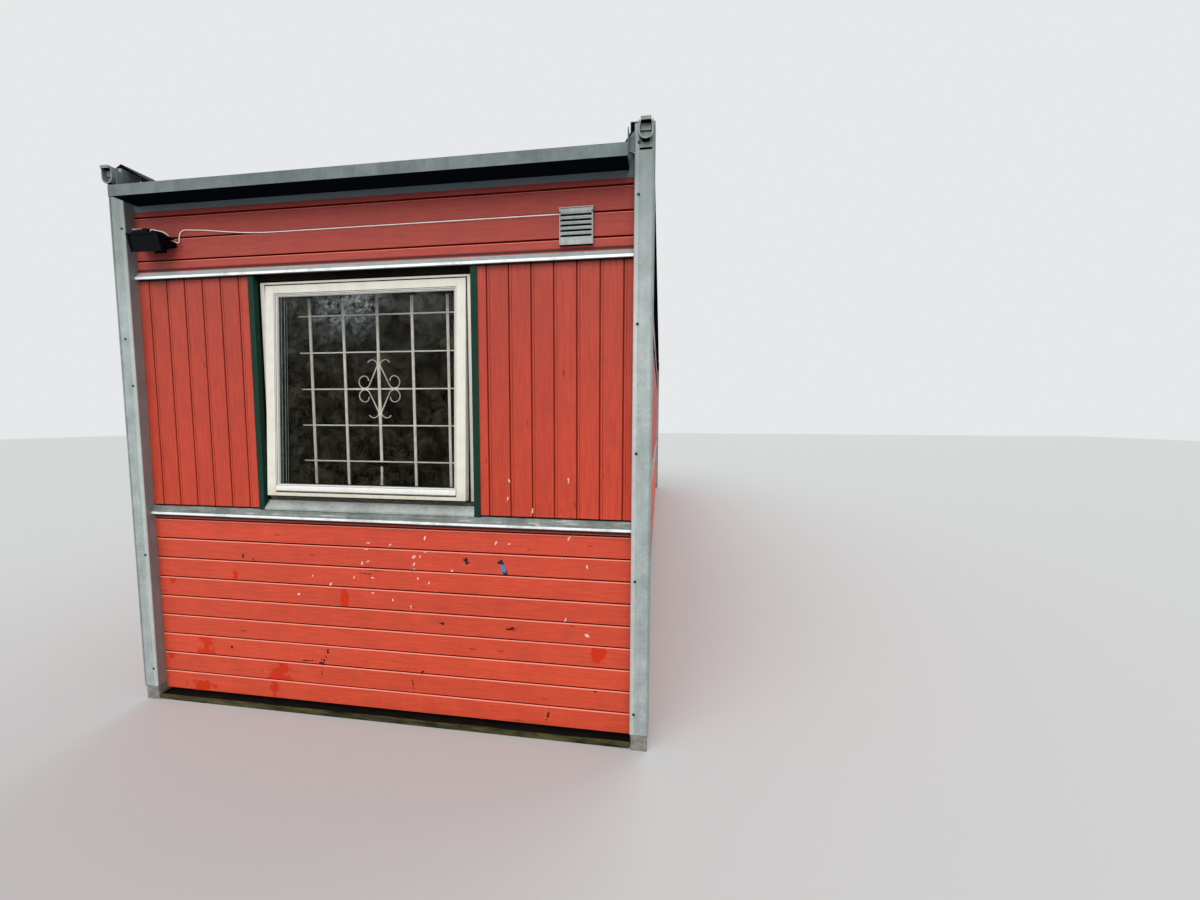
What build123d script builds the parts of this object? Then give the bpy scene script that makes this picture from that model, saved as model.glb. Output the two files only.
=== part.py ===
# Portable site cabin: a timber box on bearers between four galvanised corner posts.
# Millimetres, +Z up. The origin is on the ground at the middle of the cabin's footprint.
# The end with the window faces -Y. A wall is drawn in its own frame first: u runs along it,
# to the right as seen from outside, d goes inwards from the posts' outer face, z goes up.
from build123d import *
from math import acos, asin, atan2, cos, degrees, radians, sin, tan
import os

# Overall sizes
width = 2900.0
length = 8400.0
post_top = 2934.0

# Corner posts, their feet and lifting hooks
post_side = 92.0
post_wall = 4.0
post_corner_radius = 6.0
band_inner_margin = 21.0
band_width = 60.0
band_depth = 2.0
foot_height = 84.0
foot_inset = 6.0
foot_lip = 3.0
foot_lip_height = 6.0
slot_width = 56.0
slot_height = 10.0
slot_below_collar = 20.0
hook_inset = 41.0
collar_outer_radius = 32.0
collar_plate = 6.0
collar_depth = 80.0
collar_reach = 28.0
apron_thickness = 5.0
cap_thickness = 8.0
lug_width = 46.0
lug_plate = 12.0
lug_nose_reach = 37.0
lug_nose_height = 15.0
lug_tongue_depth = 45.0

# Walls, from outside inwards
board_set_back = 46.0
board_thickness = 20.0
core_thickness = 145.0

# Levels above the ground
bearer_height = 100.0
bearer_width = 100.0
bearer_set_back = 96.0
bearer_end_gap = 18.0
floor_thickness = 140.0
ceiling_height = 2400.0
roof_thickness = 200.0
boards_bottom = 54.0
lower_rail_bottom = 1082.0
lower_rail_height = 48.0
upper_rail_bottom = 2374.0
upper_rail_height = 41.0
boards_top = 2735.0

# Rails that shed the rain between the bands of boards
rail_reach = 18.0
rail_lip_height = 16.0
rail_lip_thickness = 4.0
rail_tuck = 10.0
rail_end_gap = 1.0

# Roof edge
soffit_level = 2766.0
fascia_bottom = 2758.0
fascia_height = 56.0
fascia_plate = 6.0
end_eave_reach = 80.0
side_eave_inset = 2.0
eave_end_gap = 25.0
fold_sheet = 3.0
fold_set_back = 9.0
fold_top = 2910.0
fold_foot = 2822.0
fold_front_reach = 40.0
fold_back_reach = 16.0
fold_corner = 14.0
ridge_rise = 32.0
membrane_thickness = 4.0

# Window in the front wall
window_centre = -41.5
window_size = 1190.0
window_bottom = 1155.0
window_fit_gap = 5.5
frame_set_back = 75.0
frame_depth = 100.0
frame_side = 28.0
frame_head = 16.0
frame_foot = 47.0
frame_stop = 20.0
sash_gap = 3.0
sash_proud = 3.0
sash_depth = 58.0
sash_side = 67.0
sash_head = 58.0
sash_foot = 72.0
sash_ajar = 48.0
pivot_pin_radius = 6.0
pivot_pin_drop = 40.0
glass_thickness = 24.0
glass_bite = 12.0
glass_edge_gap = 2.0
glass_set_back = 16.0
trim_width = 33.0
trim_proud = 6.0
trim_top_gap = 2.0
flashing_reach = 6.0
flashing_lip = 10.0
flashing_overlap = 23.0
flashing_end_gap = 1.0
flashing_sheet = 4.0

# Bars behind the glass
grille_set_back = 185.0
grille_thickness = 5.0
upright_width = 18.0
crossbar_width = 10.0
upright_pitch = 203.0
crossbar_pitch = 200.5
crossbar_overhang = 71.0
grille_centre_height = 1789.0
grille_bars_each_way = 5
scroll_width = 8.0
scroll_circle_radius = 33.0
scroll_circle_out = 88.0
scroll_inner_radius = 24.0
scroll_tail_angle = -10.0
scroll_touch_height = 128.0
scroll_tip_out = 65.0
scroll_tip_height = 143.0
scroll_crown_out = 36.0
scroll_crown_height = 158.0

# Louvred vent high on the front wall
vent_width = 160.0
vent_height = 172.0
vent_depth = 16.0
vent_from_post = 191.0
vent_bottom = 2441.0
vent_sheet = 2.0
vent_rim = 11.0
louvre_count = 5
louvre_pitch = 25.7
louvre_gap = 9.0
louvre_top_margin = 34.0
louvre_hood_reach = 6.0

# Floodlight and its cable
lamp_from_post = 156.0
lamp_level = 2550.0
lamp_width = 190.0
lamp_height = 92.0
lamp_depth = 46.0
lamp_back_taper = 0.72
lamp_tilt = 12.0
lamp_stand_off = 57.0
lamp_rim = 9.0
lamp_glass_recess = 4.0
fin_count = 7
fin_thickness = 3.0
fin_height = 11.0
arm_thickness = 4.0
arm_width = 26.0
arm_clearance = 3.0
pivot_radius = 8.0
wall_plate_size = 70.0
cable_diameter = 7.0
cable_exit = 20.0
cable_rise = 26.0
cable_past_end = 6.0
cable_over_end = 48.0
cable_past_arm = 8.0
cable_half_way_in = 26.0
cable_half_way_up = 22.0
cable_loop_start = 20.0
cable_loop_low = 2.0
cable_loop_end = 29.0
cable_loop_high = 78.0
cable_sag_start = 0.08
cable_sag_high = 70.0
cable_sag_end = 0.22
cable_run_rise = 38.0
cable_wall_gap = 0.5

# Door in the back wall
door_centre = 560.0
door_leaf_width = 900.0
door_leaf_height = 2040.0
door_leaf_thickness = 45.0
door_gap = 4.0
door_frame_side = 36.0
door_frame_depth = 110.0
threshold_height = 20.0
door_stop = 14.0
handle_level = 1050.0
handle_backset = 60.0
handle_reach = 46.0
handle_length = 125.0
handle_bar = 20.0
handle_plate_width = 42.0
handle_plate_height = 220.0
handle_plate_thickness = 8.0
handle_plate_share_below = 0.65

# Roofing that has lifted at the two front corners
flap_thickness = 4.0
flap_lap = 70.0
flap_seat_gap = 0.1
flap_set_back = 20.0
flap_depth = 148.0
flap_clear_of_cap = 10.0
left_flap_peak_inset = 68.0
left_flap_peak_rise = 22.0
left_flap_outer_inset = 25.0
left_flap_foot_inset = 290.0
right_flap_top_rise = 4.0
right_flap_upright_inset = 110.0
right_flap_upright_height = 43.0
right_flap_outer_inset = 66.0
right_flap_knee_inset = 128.0
right_flap_knee_drop = 29.0
right_flap_foot_inset = 154.0

# Sizes that follow from those above
half_width = width / 2
half_length = length / 2
post_inner = half_width - post_side
core_face = board_set_back + board_thickness
core_back = core_face + core_thickness
floor_top = bearer_height + floor_thickness
ceiling = floor_top + ceiling_height
roof_top = ceiling + roof_thickness
lower_rail_top = lower_rail_bottom + lower_rail_height
upper_rail_top = upper_rail_bottom + upper_rail_height
fascia_top = fascia_bottom + fascia_height
collar_bottom = post_top - collar_depth
collar_centre = half_width - hook_inset
cap_top = post_top + cap_thickness
vent_right_edge = post_inner - vent_from_post
lamp_centre = lamp_from_post - post_inner
flap_low = cap_top + flap_clear_of_cap
window_half = window_size / 2
window_top = window_bottom + window_size
hole_half = window_half + window_fit_gap
trim_outer = hole_half + trim_width
sash_half = window_half - frame_side - sash_gap
sash_bottom = window_bottom + frame_foot + sash_gap
sash_top = window_top - frame_head - sash_gap
sash_face = frame_set_back - sash_proud
glass_face = sash_face + glass_set_back
sash_angle = degrees(asin(sash_ajar / (sash_top - sash_bottom)))
door_frame_half = door_leaf_width / 2 + door_gap + door_frame_side
door_head = floor_top + threshold_height + door_leaf_height + door_gap + door_frame_side
door_trim_outer = door_frame_half + trim_width


def block(u_low, u_high, d_low, d_high, z_low, z_high):
    """A plain slab between three pairs of planes."""
    middle = Pos((u_low + u_high) / 2, (d_low + d_high) / 2, (z_low + z_high) / 2)
    return middle * Box(u_high - u_low, d_high - d_low, z_high - z_low)


def prism(section, u_low, u_high):
    """A section of (d, z) points drawn out along u."""
    outline = Polyline(*[(u_low, d, z) for d, z in section], close=True)
    return extrude(make_face(outline), amount=u_high - u_low, dir=(1, 0, 0))


def to_front(shape):
    return Pos(0, -half_length, 0) * shape


def to_back(shape):
    return Rot(0, 0, 180) * to_front(shape)


def to_right(shape):
    return Rot(0, 0, 90) * Pos(0, -half_width, 0) * shape


def to_left(shape):
    return Rot(0, 0, -90) * Pos(0, -half_width, 0) * shape


def left_handed(shape):
    return mirror(shape, about=Plane.YZ)


def group(shapes):
    """Like pieces of one sub-part that don't touch each other."""
    return Compound([solid for shape in shapes for solid in shape.solids()])


def corner_post():
    """Rolled box section with a shallow pressed band on its two outer faces."""
    height = post_top - foot_height
    outside = RectangleRounded(post_side, post_side, post_corner_radius)
    inside = Rectangle(post_side - 2 * post_wall, post_side - 2 * post_wall)
    centre = Pos(half_width - post_side / 2, post_side / 2, foot_height)
    post = centre * extrude(outside - inside, amount=height)
    band_start = post_inner + band_inner_margin
    front_band = block(band_start, band_start + band_width, 0, band_depth, foot_height, post_top)
    side_start = post_side - band_inner_margin - band_width
    side_band = block(half_width - band_depth, half_width, side_start, side_start + band_width,
                      foot_height, post_top)
    slot_top = collar_bottom - slot_below_collar
    slot = block(collar_centre - slot_width / 2, collar_centre + slot_width / 2,
                 -1, post_wall + 1, slot_top - slot_height, slot_top)
    return post - front_band - side_band - slot


def post_foot():
    """Steel block that carries the post, with a thin lip under the section's end."""
    low = foot_inset
    high = post_side - foot_inset
    shaft = block(post_inner + low, post_inner + high, low, high, 0, foot_height - foot_lip_height)
    shaft = chamfer(shaft.edges().filter_by(Axis.Z), foot_lip)
    lip = block(post_inner + low - foot_lip, post_inner + high + foot_lip,
                low - foot_lip, high + foot_lip, foot_height - foot_lip_height, foot_height)
    return shaft + lip


def lifting_hook():
    """Cap plate, hooked lug and the half-round collar that a sling drops into."""
    inner_radius = collar_outer_radius - collar_plate
    centre_height = collar_bottom + collar_outer_radius
    straight = post_top - centre_height
    outside = Circle(collar_outer_radius) + Pos(0, straight / 2) * Rectangle(
        2 * collar_outer_radius, straight)
    inside = Circle(inner_radius) + Pos(0, straight) * Rectangle(2 * inner_radius, 2 * straight)
    above = Pos(0, straight + collar_outer_radius) * Rectangle(
        4 * collar_outer_radius, 2 * collar_outer_radius)
    place = Plane.XZ * Pos(collar_centre, centre_height)
    collar = extrude(place * (outside - above - inside), amount=collar_reach)
    cap_edge = Pos(0, straight + cap_thickness / 2) * Rectangle(
        2 * collar_outer_radius, cap_thickness)
    apron = extrude(place * (outside - above + cap_edge), amount=apron_thickness)
    nose_bottom = cap_top - lug_nose_height
    tongue_bottom = cap_top - lug_tongue_depth
    section = [(post_side / 2, post_top), (post_side / 2, cap_top), (-lug_nose_reach, cap_top),
               (-lug_nose_reach, nose_bottom), (-lug_plate, nose_bottom),
               (-lug_plate, tongue_bottom), (0, tongue_bottom), (0, post_top)]
    lug = prism(section, collar_centre - lug_width / 2, collar_centre + lug_width / 2)
    cap = block(post_inner, half_width, 0, post_side, post_top, cap_top)
    cap = fillet(cap.edges().filter_by(Axis.Z), post_corner_radius)
    return lug + cap + apron + collar


def ground_bearers():
    """Four squared timbers under the floor, held back behind the boards."""
    low = bearer_set_back
    high = bearer_set_back + bearer_width
    end_run = post_inner - bearer_end_gap
    side_run = half_length - high - bearer_end_gap
    end_bearer = block(-end_run, end_run, low, high, 0, bearer_height)
    side_bearer = block(-side_run, side_run, low, high, 0, bearer_height)
    return group([to_front(end_bearer), to_back(end_bearer),
                  to_left(side_bearer), to_right(side_bearer)])


def cassette(bottom, top):
    """Floor or roof slab, notched round the four posts."""
    reach_x = half_width - core_face
    reach_y = half_length - core_face
    slab = block(-reach_x, reach_x, -reach_y, reach_y, bottom, top)
    notch = block(post_inner, half_width, 0, post_side, bottom, top)
    for turn in (to_front, to_back):
        slab = slab - turn(notch) - turn(left_handed(notch))
    return slab


def end_core():
    return block(-post_inner, post_inner, core_face, core_back, floor_top, ceiling)


def front_wall():
    hole = block(window_centre - hole_half, window_centre + hole_half, core_face, core_back,
                 window_bottom, window_top + window_fit_gap)
    return to_front(end_core() - hole)


def back_wall():
    hole = block(door_centre - door_frame_half, door_centre + door_frame_half,
                 core_face, core_back, floor_top, door_head)
    return to_back(end_core() - hole)


def side_core():
    run = half_length - core_back
    return block(-run, run, core_face, core_back, floor_top, ceiling)


def board_panel(u_low, u_high, z_low, z_high):
    return block(u_low, u_high, board_set_back, core_face, z_low, z_high)


def band_levels():
    """Bottom, middle and top band of boards, each tucked under the rail above it."""
    return [(boards_bottom, lower_rail_bottom + rail_tuck),
            (lower_rail_top, upper_rail_bottom + rail_tuck),
            (upper_rail_top, boards_top)]


def full_bands(run):
    return [board_panel(-run, run, low, high) for low, high in band_levels()]


def back_boards():
    bottom, middle, top = band_levels()
    left_edge = door_centre - door_trim_outer
    right_edge = door_centre + door_trim_outer
    pieces = [board_panel(-post_inner, post_inner, *top)]
    for low, high in (bottom, middle):
        pieces.append(board_panel(-post_inner, left_edge, low, high))
        pieces.append(board_panel(right_edge, post_inner, low, high))
    joint = rail_end_gap
    pieces.append(board_panel(left_edge + joint, right_edge - joint, boards_bottom, floor_top))
    return to_back(group(pieces))


def rail(u_low, u_high, bottom, height):
    """Folded drip rail: flat at the wall, sloping out, with a lip that hangs down."""
    lip_face = board_set_back - rail_reach
    section = [(core_face, bottom + height), (board_set_back, bottom + height),
               (lip_face, bottom + rail_lip_height), (lip_face, bottom),
               (lip_face + rail_lip_thickness, bottom),
               (lip_face + rail_lip_thickness, bottom + rail_tuck),
               (core_face, bottom + rail_tuck)]
    return prism(section, u_low, u_high)


def lower_rail(u_low, u_high):
    return rail(u_low, u_high, lower_rail_bottom, lower_rail_height)


def upper_rail(u_low, u_high):
    return rail(u_low, u_high, upper_rail_bottom, upper_rail_height)


def back_rails():
    run = post_inner - rail_end_gap
    left_edge = door_centre - door_trim_outer - rail_end_gap
    right_edge = door_centre + door_trim_outer + rail_end_gap
    return to_back(group([upper_rail(-run, run), lower_rail(-run, left_edge),
                          lower_rail(right_edge, run)]))


def side_rails():
    run = half_length - post_side - rail_end_gap
    pair = [upper_rail(-run, run), lower_rail(-run, run)]
    return group([turn(piece) for turn in (to_left, to_right) for piece in pair])


def fascia(run, face):
    """Folded roof edge: wall strip, flat underside and a box front with a drip lip."""
    strip = block(-run, run, board_set_back, core_face, boards_top, roof_top)
    section = [(board_set_back, soffit_level), (face + fascia_plate, soffit_level),
               (face + fascia_plate, fascia_bottom), (face, fascia_bottom),
               (face, fascia_top), (board_set_back, fascia_top)]
    tray_run = run - eave_end_gap
    return strip + prism(section, -tray_run, tray_run)


def fascia_fold(run):
    """Sheet turned up at the right end of a roof edge: one leg along it, one across to the post."""
    end = run - eave_end_gap
    along = [(-fold_front_reach, fascia_top - fold_sheet), (-fold_front_reach, fold_top - fold_corner),
             (fold_corner - fold_front_reach, fold_top), (fold_back_reach, fold_top),
             (fold_back_reach, fascia_top - fold_sheet)]
    leg = prism(along, end - fold_sheet, end)
    across = [(end - fold_sheet, fold_foot), (end - fold_sheet, fold_top - eave_end_gap),
              (run - fold_sheet, fold_top), (run, fold_top), (run, fold_foot)]
    outline = Polyline(*[(u, fold_set_back, z) for u, z in across], close=True)
    return leg + extrude(make_face(outline), amount=fold_sheet, dir=(0, 1, 0))


def end_fascia(run, face):
    fold = fascia_fold(run)
    return fascia(run, face) + fold + left_handed(fold)


def side_fascias():
    edge = fascia(half_length - post_side, side_eave_inset)
    return group([to_left(edge), to_right(edge)])


def roof_membrane():
    """Bitumen sheet over a low ridge along the cabin."""
    reach_x = half_width - core_face
    reach_y = half_length - core_face
    ridge = roof_top + ridge_rise
    section = [(-reach_x, roof_top), (reach_x, roof_top),
               (reach_x, roof_top + membrane_thickness), (0, ridge),
               (-reach_x, roof_top + membrane_thickness)]
    outline = Polyline(*[(x, -reach_y, z) for x, z in section], close=True)
    sheet = extrude(make_face(outline), amount=2 * reach_y, dir=(0, 1, 0))
    notch = block(post_inner, half_width, 0, post_side, roof_top, post_top)
    for turn in (to_front, to_back):
        sheet = sheet - turn(notch) - turn(left_handed(notch))
    return sheet


def folded_sheet(line):
    """A strip of roofing bent along a line of (u, z) points."""
    path = Polyline(*line)
    strip = Plane.XZ * trace(path, line_width=flap_thickness)
    return Pos(0, flap_set_back + flap_depth, 0) * extrude(strip, amount=flap_depth)


def membrane_level(out):
    """Height of the middle of a strip that lies on the roofing, at a distance from the ridge."""
    fall = (ridge_rise - membrane_thickness) * (1 - out / (half_width - core_face))
    return roof_top + membrane_thickness + fall + flap_thickness / 2 + flap_seat_gap


def roof_flaps():
    """A lap lying on the roofing at each front corner, with its end torn up."""
    left_foot = half_width - left_flap_foot_inset
    left_lap_start = left_foot - flap_lap
    left = folded_sheet([(left_flap_outer_inset - half_width, flap_low),
                         (left_flap_peak_inset - half_width, flap_low + left_flap_peak_rise),
                         (-left_foot, membrane_level(left_foot)),
                         (-left_lap_start, membrane_level(left_lap_start))])
    right_foot = half_width - right_flap_foot_inset
    right_lap_start = right_foot - flap_lap
    upright = half_width - right_flap_upright_inset
    top = flap_low + right_flap_top_rise
    shoulder = top - right_flap_upright_height
    right = folded_sheet([(right_lap_start, membrane_level(right_lap_start)),
                          (right_foot, membrane_level(right_foot)),
                          (half_width - right_flap_knee_inset, shoulder - right_flap_knee_drop),
                          (upright, shoulder),
                          (upright, top),
                          (half_width - right_flap_outer_inset, top)])
    return to_front(group([left, right]))


def swung_out(shape):
    """Turn a shape drawn shut about the sash's top edge, so that its foot stands ajar."""
    hinge_depth = sash_face + sash_depth
    turned = Rot(-sash_angle, 0, 0) * (Pos(0, -hinge_depth, -sash_top) * shape)
    return Pos(window_centre, hinge_depth, sash_top) * turned


def window_frame():
    """Fixed outer frame with a stop behind the sash and the two pins that the sash hangs on."""
    face = frame_set_back
    back = frame_set_back + frame_depth
    low = window_bottom
    high = window_top
    frame = block(-window_half, window_half, face, back, low, high)
    clear = window_half - frame_side
    frame -= block(-clear, clear, face, sash_face + sash_depth,
                   low + frame_foot, high - frame_head)
    stop = clear - frame_stop
    frame -= block(-stop, stop, face, back, low + frame_foot + frame_stop,
                   high - frame_head - frame_stop)
    for side in (-1, 1):
        pin = Pos(side * (clear - sash_gap / 2), sash_face + sash_depth / 2, sash_top - pivot_pin_drop)
        frame += pin * Rot(0, 90, 0) * Cylinder(pivot_pin_radius, sash_gap)
    return to_front(Pos(window_centre, 0, 0) * frame)


def window_sash():
    """Sash with a rebate all round that the sealed pane sits in."""
    back = sash_face + sash_depth
    sash = block(-sash_half, sash_half, sash_face, back, sash_bottom, sash_top)
    clear = sash_half - sash_side
    low = sash_bottom + sash_foot
    high = sash_top - sash_head
    sash -= block(-clear, clear, sash_face, back, low, high)
    sash -= block(-clear - glass_bite, clear + glass_bite, glass_face,
                  glass_face + glass_thickness, low - glass_bite, high + glass_bite)
    return to_front(swung_out(sash))


def window_glass():
    reach = sash_half - sash_side + glass_bite - glass_edge_gap
    low = sash_bottom + sash_foot - glass_bite
    high = sash_top - sash_head + glass_bite - glass_edge_gap
    pane = block(-reach, reach, glass_face, glass_face + glass_thickness, low, high)
    return to_front(swung_out(pane))


def side_trims(centre, half_opening, bottom, top):
    face = board_set_back - trim_proud
    trim = block(half_opening, half_opening + trim_width, face, core_face, bottom, top)
    return Pos(centre, 0, 0) * group([trim, left_handed(trim)])


def window_sill_flashing():
    """Sheet that leads rain from under the window out over the lower rail."""
    face = board_set_back - flashing_reach
    section = [(core_face, lower_rail_top), (face, lower_rail_top),
               (face, lower_rail_top + flashing_lip),
               (frame_set_back - flashing_sheet, window_bottom + flashing_overlap),
               (frame_set_back, window_bottom + flashing_overlap),
               (frame_set_back, window_bottom), (core_face, window_bottom)]
    run = hole_half - flashing_end_gap
    return to_front(Pos(window_centre, 0, 0) * prism(section, -run, run))


def scroll_quarter():
    """One C-scroll: curled tip, straight leg to the middle bar, and a closed curl."""
    touch = (-upright_width / 2, scroll_touch_height)
    centre = (-scroll_circle_out, scroll_circle_radius + crossbar_width / 2)
    run_x = touch[0] - centre[0]
    run_z = touch[1] - centre[1]
    reach = (run_x ** 2 + run_z ** 2) ** 0.5
    start = degrees(atan2(run_z, run_x)) - degrees(acos(scroll_circle_radius / reach))
    leg_end = (centre[0] + scroll_circle_radius * cos(radians(start)),
               centre[1] + scroll_circle_radius * sin(radians(start)))
    tip = ThreePointArc((-scroll_tip_out, scroll_tip_height),
                        (-scroll_crown_out, scroll_crown_height), touch)
    leg = Line(touch, leg_end)
    curl = CenterArc(centre, scroll_circle_radius, start, -(270 + start))
    inner_centre = (centre[0], centre[1] + scroll_circle_radius - scroll_inner_radius)
    tail = CenterArc(inner_centre, scroll_inner_radius, 90, -(90 - scroll_tail_angle))
    return Sketch() + [trace(piece, line_width=scroll_width) for piece in (tip, leg, curl, tail)]


def window_grille():
    """Flat bars welded in a lattice, with four C-scrolls round its middle."""
    reach = (grille_bars_each_way - 1) / 2
    top = window_top + window_fit_gap - grille_centre_height
    bottom = window_bottom - grille_centre_height
    bars = Sketch()
    for index in range(grille_bars_each_way):
        u = (index - reach) * upright_pitch
        low = -reach * crossbar_pitch - crossbar_width / 2 if index == reach else bottom
        bars += Pos(u, (top + low) / 2) * Rectangle(upright_width, top - low)
    half_run = reach * upright_pitch + crossbar_overhang
    for index in range(grille_bars_each_way):
        z = (index - reach) * crossbar_pitch
        bars += Pos(0, z) * Rectangle(2 * half_run, crossbar_width)
    upper_left = scroll_quarter()
    upper = upper_left + mirror(upper_left, about=Plane.YZ)
    bars = bars + upper + mirror(upper, about=Plane.XZ)
    place = Plane.XZ * Pos(window_centre, grille_centre_height)
    flat = extrude(place * bars, amount=grille_thickness)
    return to_front(Pos(0, grille_set_back + grille_thickness, 0) * flat)


def vent():
    """Pressed sheet box with louvres that throw rain outwards."""
    right = vent_right_edge
    left = vent_right_edge - vent_width
    face = board_set_back - vent_depth
    top = vent_bottom + vent_height
    shell = block(left, right, face, board_set_back, vent_bottom, top)
    shell -= block(left + vent_sheet, right - vent_sheet, face + vent_sheet, board_set_back,
                   vent_bottom + vent_sheet, top - vent_sheet)
    inner_left = left + vent_rim
    inner_right = right - vent_rim
    for index in range(louvre_count):
        z = top - louvre_top_margin - index * louvre_pitch
        shell -= block(inner_left, inner_right, face - 1, face + vent_sheet + 1,
                       z - louvre_gap / 2, z + louvre_gap / 2)
        hood_top = z + louvre_gap / 2 + vent_sheet
        section = [(face + vent_sheet, hood_top), (face, hood_top),
                   (face - louvre_hood_reach, z), (face - louvre_hood_reach + 2, z - 1),
                   (face + vent_sheet, hood_top - 2 * vent_sheet)]
        shell += prism(section, inner_left, inner_right)
    return to_front(shell)


def lamp_place(shape):
    """Lean a shape drawn about the lamp's pivot, then set it out from the wall."""
    pivot = Pos(lamp_centre, board_set_back - lamp_stand_off, lamp_level)
    return to_front(pivot * Rot(lamp_tilt, 0, 0) * shape)


def floodlight():
    """Cast housing that narrows backwards, with a rimmed glass and cooling fins."""
    half_front = lamp_height / 2
    half_back = half_front * lamp_back_taper
    half_run = lamp_width / 2
    section = [(0, -half_front), (lamp_rim, -half_front), (lamp_depth, -half_back),
               (lamp_depth, half_back), (lamp_rim, half_front), (0, half_front)]
    housing = prism(section, -half_run, half_run)
    glass_run = half_run - lamp_rim
    glass_height = half_front - lamp_rim
    housing -= block(-glass_run, glass_run, 0, lamp_glass_recess, -glass_height, glass_height)
    boss = Pos(0, lamp_depth / 2, 0) * Rot(0, 90, 0) * Cylinder(pivot_radius, lamp_width)
    housing += boss
    fin_run = lamp_width * lamp_back_taper - 2 * lamp_rim
    for index in range(fin_count):
        u = (index / (fin_count - 1) - 0.5) * fin_run
        half_fin = half_back - lamp_rim
        housing += block(u - fin_thickness / 2, u + fin_thickness / 2,
                         lamp_depth, lamp_depth + fin_height, -half_fin, half_fin)
    return lamp_place(Pos(0, -lamp_depth / 2, 0) * housing)


def floodlight_bracket():
    """Bent strap from the wall plate to a pivot on each side of the housing."""
    arm_out = lamp_width / 2 + arm_clearance
    pivot_depth = board_set_back - lamp_stand_off
    half_arm = arm_width / 2
    bridge_back = board_set_back
    bridge_front = board_set_back - arm_thickness
    low = lamp_level - half_arm
    high = lamp_level + half_arm
    left = lamp_centre - arm_out - arm_thickness
    right = lamp_centre + arm_out + arm_thickness
    strap = block(left, right, bridge_front, bridge_back, low, high)
    for start in (left, right - arm_thickness):
        strap += block(start, start + arm_thickness, pivot_depth - half_arm, bridge_back, low, high)
    for side in (-1, 1):
        pin_middle = lamp_centre + side * (arm_out - arm_clearance / 2)
        strap += Pos(pin_middle, pivot_depth, lamp_level) * Rot(0, 90, 0) * Cylinder(
            pivot_radius, arm_clearance)
    plate = block(lamp_centre - wall_plate_size / 2, lamp_centre + wall_plate_size / 2,
                  bridge_front, bridge_back, lamp_level - wall_plate_size / 2,
                  lamp_level + wall_plate_size / 2)
    return to_front(strap + plate)


def lamp_top_exit():
    """Where the lead comes out of the sloping top of the housing, and the way it points there."""
    drop = lamp_height / 2 * (1 - lamp_back_taper)
    lean = lamp_tilt - degrees(atan2(drop, lamp_depth - lamp_rim))
    middle = Vector(0, lamp_rim / 2, (lamp_height - drop) / 2).rotate(Axis.X, lamp_tilt)
    pivot = Vector(lamp_centre + cable_exit, board_set_back - lamp_stand_off, lamp_level)
    return pivot + middle, Vector(0, 0, 1).rotate(Axis.X, lean)


def cable_route():
    """The lead arches over the lamp's end, drops to the boards, loops up and runs to the vent."""
    depth = board_set_back - cable_wall_gap - cable_diameter / 2
    pivot_depth = board_set_back - lamp_stand_off
    lamp_end = lamp_centre + lamp_width / 2
    lamp_arm = lamp_end + arm_clearance + arm_thickness
    vent_left = vent_right_edge - vent_width
    run = vent_left - lamp_arm
    exit_point, way = lamp_top_exit()
    places = [(lamp_end + cable_past_end, pivot_depth + cable_past_end, lamp_level + cable_over_end),
              (lamp_arm + cable_past_arm, pivot_depth + cable_half_way_in, lamp_level + cable_half_way_up),
              (lamp_arm + cable_loop_start, depth, lamp_level + cable_loop_low),
              (lamp_arm + cable_loop_end, depth, lamp_level + cable_loop_high),
              (lamp_arm + run * cable_sag_start, depth, lamp_level + cable_sag_high),
              (lamp_arm + run * cable_sag_end, depth, lamp_level + cable_run_rise),
              (vent_left, depth, lamp_level + cable_run_rise)]
    return [exit_point, exit_point + way * cable_rise] + [Vector(*place) for place in places]


def cable_radii(route):
    radii = []
    for before, corner, after in zip(route, route[1:], route[2:]):
        first = corner - before
        second = after - corner
        turn = radians(first.get_angle(second))
        run = min(first.length, second.length)
        radii.append(0.45 * run / tan(turn / 2))
    return radii


def lamp_cable():
    route = cable_route()
    path = FilletPolyline(*route, radius=cable_radii(route))
    section = Plane(origin=path @ 0, z_dir=path % 0) * Circle(cable_diameter / 2)
    return to_front(sweep(section, path=path))


def door_frame():
    low = floor_top
    face = frame_set_back
    back = frame_set_back + door_frame_depth
    clear = door_frame_half - door_frame_side
    frame = block(-door_frame_half, door_frame_half, face, back, low, door_head)
    frame -= block(-clear, clear, face, sash_face + door_leaf_thickness,
                   low + threshold_height, door_head - door_frame_side)
    stop = clear - door_stop
    frame -= block(-stop, stop, face, back, low + threshold_height,
                   door_head - door_frame_side - door_stop)
    return to_back(Pos(door_centre, 0, 0) * frame)


def door_leaf():
    low = floor_top + threshold_height
    half = door_leaf_width / 2
    leaf = block(-half, half, sash_face, sash_face + door_leaf_thickness,
                 low, low + door_leaf_height)
    return to_back(Pos(door_centre, 0, 0) * leaf)


def door_handle():
    """Plate and lever on the outer face of the leaf."""
    spindle = door_centre - door_leaf_width / 2 + handle_backset
    level = floor_top + handle_level
    half_plate = handle_plate_width / 2
    plate_face = sash_face - handle_plate_thickness
    plate_bottom = level - handle_plate_height * handle_plate_share_below
    plate = block(spindle - half_plate, spindle + half_plate, plate_face, sash_face,
                  plate_bottom, plate_bottom + handle_plate_height)
    plate = fillet(plate.edges().filter_by(Axis.Y), half_plate / 2)
    bend = Polyline((spindle, plate_face, level),
                    (spindle, plate_face - handle_reach, level),
                    (spindle + handle_length, plate_face - handle_reach, level))
    section = Plane(origin=bend @ 0, z_dir=bend % 0) * Circle(handle_bar / 2)
    lever = sweep(section, path=bend, transition=Transition.RIGHT)
    return to_back(plate + lever)


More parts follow.
